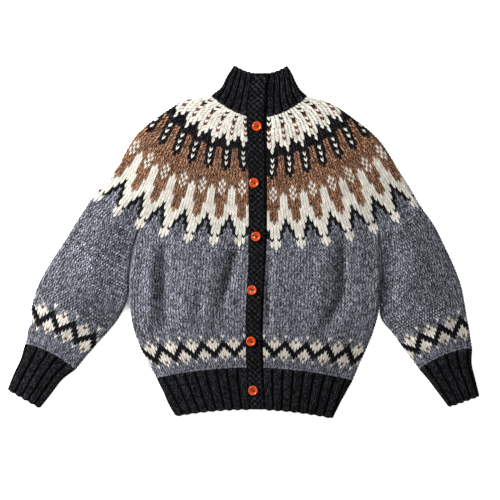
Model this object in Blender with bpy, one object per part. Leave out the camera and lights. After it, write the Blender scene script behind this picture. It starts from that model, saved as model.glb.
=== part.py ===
"""A knitted yoke cardigan, buttoned and laid flat on its back.

The garment is worked in the round, so its body and sleeves are tubes. Each knitted
piece is one wall, skinned over sections that run across the garment. A section is a
flattened loop: a front that arches over the hollow, two rounded edges and a back that
rests flat at height 0. Sizes in the tables are in millimetres, with x to the right,
y towards the neck and z up.
"""

from collections import namedtuple
from math import cos, hypot, pi, radians, sin

import bmesh
import bpy
import numpy as np
from mathutils import Matrix, Vector

MM = 0.001

# Cloth
WALL = 3.0              # thickness of the knitted fabric
SEAM_GAP = 0.36         # between pieces that are joined at a seam
REST_GAP = 0.3          # between pieces that lie on each other
CREASE_GAP = 1.6        # between body and sleeve under the arm
EDGE_HEIGHT = 12.0      # height of the garment at its folded edges
LOFT_REACH = 48.0       # distance from an edge over which the front rises
EDGE_REACH = 26.0       # distance from an edge over which that edge's own height counts
FOLD_REACH = 14.0       # distance from an edge inside which the folds die away
EDGE_LINE_POINTS = 9    # points along each edge of a piece for measuring that distance
RIB_RAISE = 1.5         # how far a knit rib stands over its valley
RIB_PROFILE = (0.0, 1.0, 1.0)

# Lower edge of the yoke: a shallow bowl, symmetric about its own middle line
YOKE_MIDDLE_X = 34.0
YOKE_LOWEST_Y = -16.7
YOKE_CURVE_2 = 4.86e-4
YOKE_CURVE_4 = 4.58e-9

# Middle of the outline, which is moved to the origin
OUTLINE_CENTRE_X = 0.0
OUTLINE_CENTRE_Y = 0.58

# Buttons
BUTTON_RADIUS = 9.0
BUTTON_HOLE_RADIUS = 1.1
BUTTON_HOLE_SPACING = 4.8
BUTTON_SIDES = 20
BUTTON_HOLE_SIDES = 8
BUTTON_HOLE_TURN = -35.0
BUTTON_TESTS = ((0.8, 12), (0.9, 12), (0.45, 8))   # shares of the radius, and points round each

# One row for each section: how far down the piece it lies (0 to 1), the two edges of
# the flattened loop, the radius of those edges, how far the front rises inside them, and
# how much higher than EDGE_HEIGHT the left and the right edge stand
Section = namedtuple("Section", "down left_x left_y right_x right_y edge rise left_up right_up")

# One row for each fold: middle, half length, half width, lean from the y axis in
# degrees, and height over the cloth round it, negative for a trough
Fold = namedtuple("Fold", "x y length width lean height")

# One row for each height y on the front: left edge of the buttonhole band, its free
# edge, and the edge of the other front, where the button band is joined
Opening = namedtuple("Opening", "y left free right")

Button = namedtuple("Button", "x y")

# One row for each height over the button's back: radius and height
Turning = namedtuple("Turning", "radius height")


def yoke_line(x):
    """Height y of the yoke's lower edge at x: a square and a fourth power of the distance."""
    across = x - YOKE_MIDDLE_X
    return YOKE_LOWEST_Y + YOKE_CURVE_2 * across ** 2 + YOKE_CURVE_4 * across ** 4


SHOULDER_LEFT = (-284.0, yoke_line(-284.0))
SHOULDER_RIGHT = (332.0, yoke_line(332.0))
UNDERARM_LEFT = (-195.0, yoke_line(-195.0))
UNDERARM_RIGHT = (252.0, yoke_line(252.0))
NECK_LEFT = (-62.0, 272.0)
NECK_RIGHT = (119.0, 270.0)
HEM_RIB_LEFT = (-162.0, -253.0)
HEM_RIB_RIGHT = (203.0, -257.0)
CUFF_LEFT = (-406.0, -189.0, -311.0, -237.0)
CUFF_RIGHT = (325.0, -236.0, 425.0, -197.0)

COLLAR = (
    Section(0.00, -18.0, 328.0, 82.0, 327.0, 7.0, 6.5, 0.0, 0.0),
    Section(0.34, -31.0, 308.0, 93.0, 307.0, 7.0, 6.5, 0.0, 0.0),
    Section(0.67, -42.0, 287.0, 103.0, 286.0, 7.0, 6.0, 0.0, 0.0),
    Section(1.00, *NECK_LEFT, *NECK_RIGHT, 7.0, 6.0, 0.0, 0.0),
)
YOKE = (
    Section(0.00, *NECK_LEFT, *NECK_RIGHT, 7.0, 6.0, 0.0, 0.0),
    Section(0.14, -104.0, 266.0, 160.0, 259.0, 8.0, 6.0, 0.0, 0.0),
    Section(0.30, -151.0, 239.0, 203.0, 231.0, 8.0, 6.0, 0.0, 0.0),
    Section(0.50, -197.0, 202.0, 249.0, 193.0, 8.0, 6.5, 0.0, 0.0),
    Section(0.75, -238.0, 137.0, 292.0, 129.0, 8.0, 7.0, 0.0, 0.0),
    Section(1.00, *SHOULDER_LEFT, *SHOULDER_RIGHT, 8.0, 8.0, 0.0, 0.0),
)
BODY = (
    Section(0.00, *UNDERARM_LEFT, *UNDERARM_RIGHT, 4.0, 8.0, 0.0, 0.0),
    Section(0.16, -206.0, -26.0, 254.0, -31.0, 7.0, 9.0, 1.0, 3.0),
    Section(0.33, -212.0, -73.0, 255.0, -78.0, 8.0, 10.0, 2.0, 6.0),
    Section(0.50, -212.0, -121.0, 252.0, -125.0, 8.0, 10.5, 2.0, 6.5),
    Section(0.67, -203.0, -168.0, 240.0, -170.0, 8.0, 10.5, 1.0, 4.0),
    Section(0.84, -184.0, -214.0, 221.0, -216.0, 8.0, 9.0, 0.0, 0.0),
    Section(1.00, *HEM_RIB_LEFT, *HEM_RIB_RIGHT, 7.0, 4.0, 0.0, 0.0),
)
HEM_RIB = (
    Section(0.00, *HEM_RIB_LEFT, *HEM_RIB_RIGHT, 7.0, 4.0, 0.0, 0.0),
    Section(0.33, -151.0, -277.0, 190.0, -280.0, 7.0, 4.0, 0.0, 0.0),
    Section(0.67, -140.0, -301.0, 177.0, -304.0, 7.0, 4.0, 0.0, 0.0),
    Section(1.00, -127.0, -323.0, 166.0, -327.0, 7.0, 3.5, 0.0, 0.0),
)
SLEEVE_LEFT = (
    Section(0.00, *SHOULDER_LEFT, *UNDERARM_LEFT, 4.0, 8.0, 0.0, 0.0),
    Section(0.14, -309.0, 41.0, -206.0, -20.0, 7.0, 9.0, 0.0, -1.5),
    Section(0.29, -331.0, 5.0, -212.0, -62.0, 8.0, 10.0, 0.0, -2.0),
    Section(0.43, -354.0, -30.0, -214.0, -103.0, 8.0, 10.5, 0.0, -1.0),
    Section(0.57, -376.0, -67.0, -230.0, -140.0, 8.0, 10.5, 0.0, 0.0),
    Section(0.72, -391.0, -106.0, -256.0, -173.0, 8.0, 10.0, 0.0, 0.0),
    Section(0.86, -398.0, -148.0, -284.0, -204.0, 8.0, 8.0, 0.0, 0.0),
    Section(1.00, *CUFF_LEFT, 7.0, 3.5, 0.0, 0.0),
)
SLEEVE_RIGHT = (
    Section(0.00, *UNDERARM_RIGHT, *SHOULDER_RIGHT, 4.0, 8.0, 0.0, 0.0),
    Section(0.14, 255.0, -23.0, 355.0, 30.0, 7.0, 9.0, -3.0, 0.0),
    Section(0.29, 256.0, -62.0, 373.0, -6.0, 8.0, 10.0, -4.0, 0.0),
    Section(0.43, 255.0, -102.0, 390.0, -42.0, 8.0, 10.5, -4.0, 0.0),
    Section(0.57, 258.0, -140.0, 404.0, -79.0, 8.0, 10.5, -2.0, 0.0),
    Section(0.72, 278.0, -172.0, 412.0, -119.0, 8.0, 10.0, 0.0, 0.0),
    Section(0.86, 301.0, -204.0, 419.0, -158.0, 8.0, 8.0, 0.0, 0.0),
    Section(1.00, *CUFF_RIGHT, 7.0, 3.5, 0.0, 0.0),
)
CUFF_LEFT_RIB = (
    Section(0.00, *CUFF_LEFT, 7.0, 3.5, 0.0, 0.0),
    Section(0.33, -414.0, -217.0, -336.0, -256.0, 7.0, 3.5, 0.0, 0.0),
    Section(0.67, -427.0, -245.0, -357.0, -283.0, 7.0, 3.5, 0.0, 0.0),
    Section(1.00, -438.0, -273.0, -377.0, -308.0, 7.0, 3.5, 0.0, 0.0),
)
CUFF_RIGHT_RIB = (
    Section(0.00, *CUFF_RIGHT, 7.0, 3.5, 0.0, 0.0),
    Section(0.33, 344.0, -258.0, 424.0, -226.0, 7.0, 3.5, 0.0, 0.0),
    Section(0.67, 362.0, -282.0, 431.0, -256.0, 7.0, 3.5, 0.0, 0.0),
    Section(1.00, 380.0, -306.0, 438.0, -285.0, 7.0, 3.5, 0.0, 0.0),
)

FOLDS = (
    Fold(-144.0, -82.0, 84.0, 9.0, 0.0, -7.0),
    Fold(-173.0, -90.0, 80.0, 13.0, -2.0, 2.5),
    Fold(-116.0, -95.0, 85.0, 15.0, 0.0, 2.5),
    Fold(-25.0, -66.0, 62.0, 9.0, -13.0, -5.0),
    Fold(-62.0, -100.0, 75.0, 13.0, -6.0, 3.0),
    Fold(-81.0, -122.0, 32.0, 6.0, 0.0, -2.5),
    Fold(48.0, -95.0, 66.0, 6.0, 0.0, -3.0),
    Fold(188.0, -48.0, 52.0, 9.0, 0.0, -5.5),
    Fold(170.0, -122.0, 44.0, 10.0, -25.0, -5.0),
    Fold(142.0, -80.0, 75.0, 15.0, -12.0, 3.0),
    Fold(217.0, -100.0, 75.0, 13.0, 4.0, 2.0),
)

OPENING = (
    Opening(311.0, 14.0, 47.0, 50.5),
    Opening(287.0, 11.0, 44.0, 48.0),
    Opening(263.0, 8.0, 39.0, 45.5),
    Opening(226.0, 6.0, 36.5, 43.0),
    Opening(170.0, 9.0, 38.0, 43.5),
    Opening(96.0, 9.5, 39.0, 43.0),
    Opening(4.0, 10.0, 39.0, 42.5),
    Opening(-52.0, 8.5, 36.5, 40.0),
    Opening(-107.0, 5.5, 33.5, 37.5),
    Opening(-163.0, 4.0, 31.5, 35.5),
    Opening(-231.0, 5.5, 33.0, 36.5),
    Opening(-312.0, 11.0, 38.0, 41.5),
)
OPENING_CORRECTIONS = 6
BAND_STRIPS = 3
HIDDEN_LAP = 25.0       # width of the button band, most of it under the other band
LAP_DROP = WALL + 1.0   # how far the button band's hidden edge lies below its joined edge

BUTTONS = (
    Button(24.8, 213.7),
    Button(19.6, 109.2),
    Button(23.1, 10.0),
    Button(15.7, -88.8),
    Button(13.9, -183.0),
    Button(17.8, -274.5),
)
BUTTON_PROFILE = (
    Turning(7.6, 0.0),
    Turning(8.7, 0.9),
    Turning(9.0, 1.9),
    Turning(8.5, 3.0),
    Turning(7.4, 3.5),
    Turning(6.2, 3.1),
    Turning(5.3, 2.3),
)

# Colours of the yarns and buttons: red, green, blue
GREY_WOOL = (0.145, 0.155, 0.19)
BLACK_WOOL = (0.012, 0.012, 0.015)
BROWN_WOOL = (0.20, 0.10, 0.055)
ORANGE_BUTTON = (0.82, 0.09, 0.01)
WOOL_ROUGHNESS = 0.95
BUTTON_ROUGHNESS = 0.18
SHARP_ANGLE = 50.0


def arched(height):
    """Bow that is 0 at both edges and has its full height in the middle."""
    return lambda left, right, share: height * 4.0 * share * (1.0 - share)


def along_yoke(left, right, share):
    """Bow that carries the straight line between two seam points onto the yoke's lower edge."""
    x = left[0] + share * (right[0] - left[0])
    y = left[1] + share * (right[1] - left[1])
    return yoke_line(x) - y


# One row for each knitted piece. start and end are the bows of its first and last
# section, on the front and on the back. fade is the power by which they die away.
# front, arc and back count the strips across one front, round an edge and across the
# back, and rows counts them along the piece.
Panel = namedtuple(
    "Panel", "name sections start start_back end end_back fade front arc back rows open ribbed colour"
)

PANELS = (
    Panel("collar", COLLAR, arched(-17.0), arched(-15.0), arched(-41.0), arched(-6.0), 1,
          12, 6, 10, 5, True, True, BLACK_WOOL),
    Panel("yoke", YOKE, arched(-41.0), arched(-6.0), along_yoke, along_yoke, 1,
          15, 6, 14, 10, True, False, BROWN_WOOL),
    Panel("body", BODY, along_yoke, along_yoke, arched(22.0), arched(22.0), 2,
          15, 6, 14, 12, True, False, GREY_WOOL),
    Panel("hem_rib", HEM_RIB, arched(22.0), arched(22.0), arched(15.0), arched(15.0), 1,
          27, 6, 14, 4, True, True, BLACK_WOOL),
    Panel("sleeve_left", SLEEVE_LEFT, along_yoke, along_yoke, arched(8.0), arched(8.0), 2,
          11, 6, 6, 12, False, False, GREY_WOOL),
    Panel("sleeve_right", SLEEVE_RIGHT, along_yoke, along_yoke, arched(8.0), arched(8.0), 2,
          11, 6, 6, 12, False, False, GREY_WOOL),
    Panel("cuff_left", CUFF_LEFT_RIB, arched(8.0), arched(8.0), arched(0.0), arched(0.0), 1,
          12, 6, 5, 4, False, True, BLACK_WOOL),
    Panel("cuff_right", CUFF_RIGHT_RIB, arched(8.0), arched(8.0), arched(0.0), arched(0.0), 1,
          12, 6, 5, 4, False, True, BLACK_WOOL),
)


def smooth_table(rows, at):
    """Values of every column of a table at one place in its first column.

    Between two rows the curve is a cubic whose slope at each row comes from that row's
    two neighbours.
    """
    table = np.array(rows, dtype=float)
    table = table[np.argsort(table[:, 0])]
    places = table[:, 0]
    slopes = np.gradient(table, places, axis=0)
    here = int(np.clip(np.searchsorted(places, at) - 1, 0, len(places) - 2))
    span = places[here + 1] - places[here]
    t = (at - places[here]) / span
    start = (1 + 2 * t) * (1 - t) ** 2 * table[here] + t * (1 - t) ** 2 * span * slopes[here]
    end = t * t * (3 - 2 * t) * table[here + 1] + t * t * (t - 1) * span * slopes[here + 1]
    return start + end


def section_at(panel, down):
    return Section(*smooth_table(panel.sections, down))


def opening_at(y):
    return Opening(*smooth_table(OPENING, y))


def edge_lines():
    """Both edges of every piece as pairs of points: the lines where the cloth is folded."""
    starts = []
    ends = []
    for panel in PANELS:
        rows = [section_at(panel, down) for down in np.linspace(0.0, 1.0, EDGE_LINE_POINTS)]
        for one, two in zip(rows, rows[1:]):
            starts += [(one.left_x, one.left_y), (one.right_x, one.right_y)]
            ends += [(two.left_x, two.left_y), (two.right_x, two.right_y)]
    return np.array(starts), np.array(ends)


EDGE_STARTS, EDGE_ENDS = edge_lines()


def distance_to_edge(x, y):
    """Distance in plan from one point to the nearest folded edge."""
    point = np.array((x, y))
    along = EDGE_ENDS - EDGE_STARTS
    length = (along ** 2).sum(axis=1)
    share = np.clip(((point - EDGE_STARTS) * along).sum(axis=1) / length, 0.0, 1.0)
    nearest = EDGE_STARTS + share[:, None] * along
    return np.sqrt(((point - nearest) ** 2).sum(axis=1)).min()


def fold_height(x, y):
    """Sum of the folds at one point: each fades as a bell across and as a flat bell along."""
    total = 0.0
    for fold in FOLDS:
        lean = radians(fold.lean)
        along = (y - fold.y) * cos(lean) - (x - fold.x) * sin(lean)
        across = (x - fold.x) * cos(lean) + (y - fold.y) * sin(lean)
        total += fold.height * np.exp(-(along / fold.length) ** 4 - (across / fold.width) ** 2)
    return total


def front_height(panel, row, down, share):
    """Plan position and height of the front's outer face at a share of a section.

    The front rises away from all folded edges, and near its own two edges it takes the
    height of that edge. The folds die away close to an edge.
    """
    x, y = plan_point(panel, row, down, share, 1.0)
    distance = distance_to_edge(x, y)
    width = hypot(row.right_x - row.left_x, row.right_y - row.left_y)
    height = EDGE_HEIGHT + row.rise * (1.0 - np.exp(-(distance / LOFT_REACH) ** 2))
    height += row.left_up * np.exp(-(share * width / EDGE_REACH) ** 2)
    height += row.right_up * np.exp(-((1.0 - share) * width / EDGE_REACH) ** 2)
    height += fold_height(x, y) * (1.0 - np.exp(-(distance / FOLD_REACH) ** 2))
    return x, y, height


def bow(panel, down, share, front):
    """How far a section leaves the straight line between its edges, towards the neck.

    front is 1 on the front, 0 on the back and in between round a folded edge.
    """
    first = panel.sections[0]
    last = panel.sections[-1]
    starts = (first.left_x, first.left_y), (first.right_x, first.right_y), share
    ends = (last.left_x, last.left_y), (last.right_x, last.right_y), share
    at_start = front * panel.start(*starts) + (1.0 - front) * panel.start_back(*starts)
    at_end = front * panel.end(*ends) + (1.0 - front) * panel.end_back(*ends)
    return at_start * (1.0 - down) ** panel.fade + at_end * down ** panel.fade


def seam_shift(down):
    """Half the seam's gap, off the piece's first and last section."""
    if down == 0.0:
        return -SEAM_GAP / 2
    if down == 1.0:
        return SEAM_GAP / 2
    return 0.0


def plan_point(panel, row, down, share, front):
    """Plan position on a section, at a share of the way from its left to its right edge."""
    x = row.left_x + share * (row.right_x - row.left_x)
    y = row.left_y + share * (row.right_y - row.left_y)
    y += bow(panel, down, share, front) + seam_shift(down)
    return x, y


def crease_clear(panel, row, down):
    """Section of a sleeve, held off the body along the half where the two lie together."""
    gap = CREASE_GAP * min(1.0, 2.0 * (1.0 - down))
    if panel.name == "sleeve_left":
        return row._replace(right_x=row.right_x - gap)
    if panel.name == "sleeve_right":
        return row._replace(left_x=row.left_x + gap)
    return row


def opening_share(panel, row, down, side):
    """Share at which a section's front stops at the opening, found by a few corrections."""
    share = 0.5
    for _ in range(OPENING_CORRECTIONS):
        x, y = plan_point(panel, row, down, share, 1.0)
        edge = opening_at(y)
        target = edge.left - SEAM_GAP / 2 if side == "left" else edge.right + SEAM_GAP / 2
        share += (target - x) / (row.right_x - row.left_x)
    return share


# A place on a section: share across, on the front or the back, turn round the edge
# (half a turn at the top, 0 below, None on a flat run), and number of its strip
Place = namedtuple("Place", "share front turn side strip")


def section_places(panel, row, down):
    """The places round a section, clockwise as seen from the neck, starting on the front."""
    width = hypot(row.right_x - row.left_x, row.right_y - row.left_y)
    margin = row.edge / width
    right_turns = np.linspace(pi, 0.0, panel.arc + 1)
    left_turns = right_turns[::-1]
    places = []
    if panel.open:
        from_share = opening_share(panel, row, down, "right")
        right_front = np.linspace(from_share, 1.0 - margin, panel.front + 1)[:-1]
        places += [Place(s, 1.0, None, 0, panel.front - k) for k, s in enumerate(right_front)]
    places += [Place(None, None, t, 1, -k) for k, t in enumerate(right_turns)]
    places += [Place(s, 0.0, None, 0, None)
               for s in np.linspace(1.0 - margin, margin, panel.back + 1)[1:-1]]
    places += [Place(None, None, t, -1, k - panel.arc) for k, t in enumerate(left_turns)]
    if panel.open:
        to_share = opening_share(panel, row, down, "left")
        left_front = np.linspace(margin, to_share, panel.front + 1)[1:]
        places += [Place(s, 1.0, None, 0, k + 1) for k, s in enumerate(left_front)]
    else:
        front = np.linspace(margin, 1.0 - margin, panel.front + 1)[1:-1]
        places += [Place(s, 1.0, None, 0, k + 1) for k, s in enumerate(front)]
    return places, width, margin


def rib_height(panel, place):
    """Height of the rib at a strip of a ribbed piece, 0 where the front meets a band."""
    if not panel.ribbed or place.strip is None:
        return 0.0
    if panel.open and place.strip == panel.front:
        return 0.0
    return RIB_RAISE * RIB_PROFILE[place.strip % len(RIB_PROFILE)]


def section_points(panel, down):
    """Outer and inner points of one section. The inner ones lie one wall further in."""
    row = crease_clear(panel, section_at(panel, down), down)
    places, width, margin = section_places(panel, row, down)
    outer = []
    inner = []
    for place in places:
        raised = rib_height(panel, place)
        if place.turn is None and place.front:
            x, y, top = front_height(panel, row, down, place.share)
            outer.append((x, y, top + raised))
            inner.append((x, y, top - WALL))
            continue
        if place.turn is None:
            x, y = plan_point(panel, row, down, place.share, 0.0)
            outer.append((x, y, 0.0))
            inner.append((x, y, WALL))
            continue
        top_share = margin if place.side < 0 else 1.0 - margin
        top = front_height(panel, row, down, top_share)[2]
        front = (1.0 - cos(place.turn)) / 2
        raised *= np.clip(2.0 * place.turn / pi, 0.0, 1.0) ** 2
        for points, wall, proud in ((outer, 0.0, raised), (inner, WALL, 0.0)):
            inwards = wall + (row.edge - wall) * (1.0 - sin(place.turn)) - proud * sin(place.turn)
            height = wall + (top / 2 - wall) * (1.0 - cos(place.turn)) - proud * cos(place.turn)
            share = inwards / width if place.side < 0 else 1.0 - inwards / width
            x, y = plan_point(panel, row, down, share, front)
            points.append((x, y, height))
    return outer, inner


def new_object(name, bm, colour, roughness):
    """Object with its own material from a finished bmesh in millimetres."""
    bmesh.ops.translate(bm, vec=(-OUTLINE_CENTRE_X, -OUTLINE_CENTRE_Y, 0.0), verts=bm.verts)
    bmesh.ops.scale(bm, vec=(MM, MM, MM), verts=bm.verts)
    bmesh.ops.recalc_face_normals(bm, faces=bm.faces)
    if bm.calc_volume(signed=True) < 0.0:
        bmesh.ops.reverse_faces(bm, faces=bm.faces)
    mesh = bpy.data.meshes.new(name)
    bm.to_mesh(mesh)
    bm.free()
    mesh.shade_smooth()
    mesh.set_sharp_from_angle(angle=radians(SHARP_ANGLE))
    thing = bpy.data.objects.new(name, mesh)
    bpy.context.collection.objects.link(thing)
    material = bpy.data.materials.new(name)
    material.use_nodes = True
    shader = material.node_tree.nodes["Principled BSDF"]
    shader.inputs["Base Color"].default_value = (*colour, 1.0)
    shader.inputs["Roughness"].default_value = roughness
    shader.inputs["Metallic"].default_value = 0.0
    mesh.materials.append(material)
    return thing


def skin(bm, first, second, closed):
    """Quads between two rows of corners of equal length."""
    count = len(first)
    last = count if closed else count - 1
    for k in range(last):
        n = (k + 1) % count
        bm.faces.new((first[k], first[n], second[n], second[k]))


def wall_between(outer_rows, inner_rows, closed):
    """Closed wall between two grids of points, open sections getting an edge at both ends."""
    bm = bmesh.new()
    outer = [[bm.verts.new(point) for point in row] for row in outer_rows]
    inner = [[bm.verts.new(point) for point in row] for row in inner_rows]
    for one, two in zip(outer, outer[1:]):
        skin(bm, one, two, closed)
    for one, two in zip(inner, inner[1:]):
        skin(bm, two, one, closed)
    skin(bm, inner[0], outer[0], closed)
    skin(bm, outer[-1], inner[-1], closed)
    if not closed:
        for end in (0, -1):
            skin(bm, [row[end] for row in outer], [row[end] for row in inner], False)
    return bm


def add_panel(panel):
    """One knitted piece, skinned over its sections."""
    outer_rows = []
    inner_rows = []
    for down in np.linspace(0.0, 1.0, panel.rows + 1):
        outer, inner = section_points(panel, down)
        outer_rows.append(outer)
        inner_rows.append(inner)
    bm = wall_between(outer_rows, inner_rows, closed=not panel.open)
    return new_object(panel.name, bm, panel.colour, WOOL_ROUGHNESS)


def front_edges():
    """Edges of the two fronts along the opening, from the collar down: left and right points."""
    left = []
    right = []
    for panel in [panel for panel in PANELS if panel.open]:
        downs = np.linspace(0.0, 1.0, panel.rows + 1)
        if left:
            downs = downs[1:]
        for down in downs:
            row = section_at(panel, down)
            for points, side in ((left, "left"), (right, "right")):
                share = opening_share(panel, row, down, side)
                points.append(front_height(panel, row, down, share))
    return left, right


def band_sections():
    """Sections of the two bands from the collar down: places across, y and height of the base.

    The button band falls from the edge of the right front to its hidden edge. The
    buttonhole band starts at the edge of the left front and climbs over it.
    """
    over = []
    under = []
    for left, right in zip(*front_edges()):
        edge = opening_at((left[1] + right[1]) / 2)
        joined_x = right[0] - SEAM_GAP
        under_x = np.linspace(joined_x - HIDDEN_LAP, joined_x, BAND_STRIPS + 1)
        under_top = right[2] - LAP_DROP * (joined_x - under_x) / HIDDEN_LAP
        over_x = np.linspace(left[0] + SEAM_GAP, edge.free, BAND_STRIPS + 1)
        rest = right[2] - LAP_DROP * (joined_x - over_x) / HIDDEN_LAP + REST_GAP
        start = left[2] - WALL
        climb = np.linspace(start, rest[-1], BAND_STRIPS + 1)
        over_base = np.maximum(climb, rest)
        over_base[0] = start
        over.append((over_x, left[1], over_base))
        under.append((under_x, right[1], under_top - WALL))
    return over, under


def band_loop(xs, y, base):
    """Corners round one section of a band: over its upper face and back along its base."""
    top = base + WALL
    loop = [(x, y, z) for x, z in zip(xs, top)]
    loop += [(x, y, z) for x, z in zip(xs[::-1], base[::-1])]
    return loop


def add_band(name, sections):
    """One front band: a loop of corners carried down the opening and capped at both ends."""
    bm = bmesh.new()
    loops = [[bm.verts.new(point) for point in band_loop(*section)] for section in sections]
    for one, two in zip(loops, loops[1:]):
        skin(bm, one, two, True)
    for loop in (loops[0], loops[-1]):
        half = len(loop) // 2
        for k in range(half - 1):
            bm.faces.new((loop[k], loop[k + 1], loop[-2 - k], loop[-1 - k]))
    return new_object(name, bm, BLACK_WOOL, WOOL_ROUGHNESS)


def band_top(sections, x, y):
    """Height of a band's upper face at a point, between its nearest sections and strips."""
    section_y = np.array([section[1] for section in sections])
    tops = np.array([np.interp(x, section[0], section[2] + WALL) for section in sections])
    return np.interp(y, section_y[::-1], tops[::-1])


def button_mesh():
    """A turned button with a rounded rim, a dished middle and two thread holes, as a bmesh."""
    bm = bmesh.new()
    rings = []
    angles = np.linspace(0.0, 2 * pi, BUTTON_SIDES, endpoint=False)
    for turning in BUTTON_PROFILE:
        ring = [(turning.radius * cos(a), turning.radius * sin(a), turning.height) for a in angles]
        rings.append([bm.verts.new(point) for point in ring])
    for one, two in zip(rings, rings[1:]):
        skin(bm, one, two, True)
    bm.faces.new(rings[0][::-1])
    bm.faces.new(rings[-1])
    return bm


def hole_cutters():
    """Two round bars where the thread goes through a button, hidden from the build."""
    bars = []
    depth = 3 * max(turning.height for turning in BUTTON_PROFILE) * MM
    for side in (-0.5, 0.5):
        bpy.ops.mesh.primitive_cylinder_add(
            vertices=BUTTON_HOLE_SIDES, radius=BUTTON_HOLE_RADIUS * MM, depth=depth
        )
        bar = bpy.context.object
        offset = Vector((side * BUTTON_HOLE_SPACING * MM, 0.0, 0.0))
        bar.location = Matrix.Rotation(radians(BUTTON_HOLE_TURN), 3, "Z") @ offset
        bar.hide_render = True
        bar.display_type = "WIRE"
        bars.append(bar)
    return bars


def button_place(button, band):
    """Turn and position that lay a button's back on the buttonhole band, just clear of it."""
    reach = BUTTON_RADIUS * BUTTON_TESTS[0][0]
    east = band_top(band, button.x + reach, button.y)
    west = band_top(band, button.x - reach, button.y)
    north = band_top(band, button.x, button.y + reach)
    south = band_top(band, button.x, button.y - reach)
    slope_x = (east - west) / (2 * reach)
    slope_y = (north - south) / (2 * reach)
    normal = Vector((-slope_x, -slope_y, 1.0)).normalized()
    base = band_top(band, button.x, button.y)
    lift = 0.0
    for share, count in BUTTON_TESTS:
        for angle in np.linspace(0.0, 2 * pi, count, endpoint=False):
            dx = share * BUTTON_RADIUS * cos(angle)
            dy = share * BUTTON_RADIUS * sin(angle)
            plane = base + slope_x * dx + slope_y * dy
            lift = max(lift, band_top(band, button.x + dx, button.y + dy) - plane)
    height = base + lift + REST_GAP
    place = Vector((button.x - OUTLINE_CENTRE_X, button.y - OUTLINE_CENTRE_Y, height))
    return Vector((0.0, 0.0, 1.0)).rotation_difference(normal), place * MM


def add_buttons(band):
    """The six buttons, each pierced while it lies at the origin and then laid on the band."""
    bars = hole_cutters()
    for number, button in enumerate(BUTTONS, start=1):
        bm = button_mesh()
        bmesh.ops.translate(bm, vec=(OUTLINE_CENTRE_X, OUTLINE_CENTRE_Y, 0.0), verts=bm.verts)
        thing = new_object(f"button_{number}", bm, ORANGE_BUTTON, BUTTON_ROUGHNESS)
        for bar in bars:
            cut = thing.modifiers.new("thread hole", "BOOLEAN")
            cut.operation = "DIFFERENCE"
            cut.solver = "EXACT"
            cut.object = bar
        bpy.context.view_layer.update()
        graph = bpy.context.evaluated_depsgraph_get()
        pierced = bpy.data.meshes.new_from_object(thing.evaluated_get(graph))
        thing.modifiers.clear()
        thing.data = pierced
        turn, place = button_place(button, band)
        thing.rotation_mode = "QUATERNION"
        thing.rotation_quaternion = turn
        thing.location = place
    for bar in bars:
        bpy.data.objects.remove(bar, do_unlink=True)


def main():
    for thing in list(bpy.data.objects):
        bpy.data.objects.remove(thing, do_unlink=True)
    for panel in PANELS:
        add_panel(panel)
    over, under = band_sections()
    add_band("buttonhole_band", over)
    add_band("button_band", under)
    add_buttons(over)


main()
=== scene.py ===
from collections import namedtuple

import bpy
import numpy as np
from bpy.props import FloatProperty, FloatVectorProperty, PointerProperty
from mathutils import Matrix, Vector


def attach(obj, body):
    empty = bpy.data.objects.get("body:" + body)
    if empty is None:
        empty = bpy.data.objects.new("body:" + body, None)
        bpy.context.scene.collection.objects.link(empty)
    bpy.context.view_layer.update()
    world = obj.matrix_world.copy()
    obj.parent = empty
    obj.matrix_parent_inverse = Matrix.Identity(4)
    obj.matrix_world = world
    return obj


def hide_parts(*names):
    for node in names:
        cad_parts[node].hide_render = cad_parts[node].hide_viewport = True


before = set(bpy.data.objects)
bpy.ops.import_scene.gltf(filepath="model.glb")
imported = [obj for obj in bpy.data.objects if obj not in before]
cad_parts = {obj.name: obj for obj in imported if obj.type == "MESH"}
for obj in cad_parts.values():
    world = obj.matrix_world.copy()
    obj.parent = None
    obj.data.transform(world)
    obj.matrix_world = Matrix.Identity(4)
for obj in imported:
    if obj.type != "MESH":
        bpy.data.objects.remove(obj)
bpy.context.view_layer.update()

bl_info = {
    "name": "Cardigan laid flat",
    "version": (1, 0, 0),
    "blender": (4, 5, 0),
    "location": "3D View > Sidebar > Cardigan",
    "description": "Knits a yoke cardigan over its CAD frame and lights it as a flat-lay",
    "category": "Object",
}

MM = 0.001

# Cloth, in millimetres. Each knitted piece lies on the form of its own solid.
WALL = 3.0
SEAM_GAP = 0.08
CREASE_GAP = -0.9       # shift of the right sleeve's upper edge, negative towards the body
EDGE_HEIGHT = 12.0      # height of the garment at its folded edges
LOWEST_FRONT = 7.4      # height that the front is held over
SOFT_BEND = 0.5         # height over which it bends up to that
LOFT_REACH = 48.0       # distance from an edge over which the front rises
EDGE_REACH = 26.0       # distance from an edge over which that edge's own height counts
FOLD_REACH = 14.0       # distance from an edge inside which the creases die away
YOKE_MIDDLE_X = 34.0
OUTLINE_CENTRE_Y = 0.58
WAVE_HEIGHT = 0.09
# Length, direction in radians and start of each gentle wave
WAVES = ((61.0, 0.3, 0.0), (43.0, 1.9, 1.0), (33.0, 2.6, 2.2), (24.0, 0.9, 3.9), (19.0, 1.5, 5.1))

# Points on the front, round a folded edge and on the back of a section, outside and inside
OUTER_FINE = (150, 10, 110)
INNER_FINE = (110, 6, 40)
FACE_SECTIONS = 61
INNER_LINES = 31
EDGE_STEPS = 9          # places down each folded edge, with straight bits between
FRONT_EDGE_STEPS = 25   # places down each piece's front edge
OPENING_ROUNDS = 8      # corrections by which the opening's edge is found
# Places in the middle of both folded edges of an open piece, and of a tube's outer one
HALF_ARC = OUTER_FINE[1] // 2
OPEN_TURNS = (OUTER_FINE[0] + HALF_ARC, sum(OUTER_FINE) + HALF_ARC)
TURN_PLACE = {"left": 2 * HALF_ARC + OUTER_FINE[2], "right": 2 * HALF_ARC + OUTER_FINE[0]}

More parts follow.
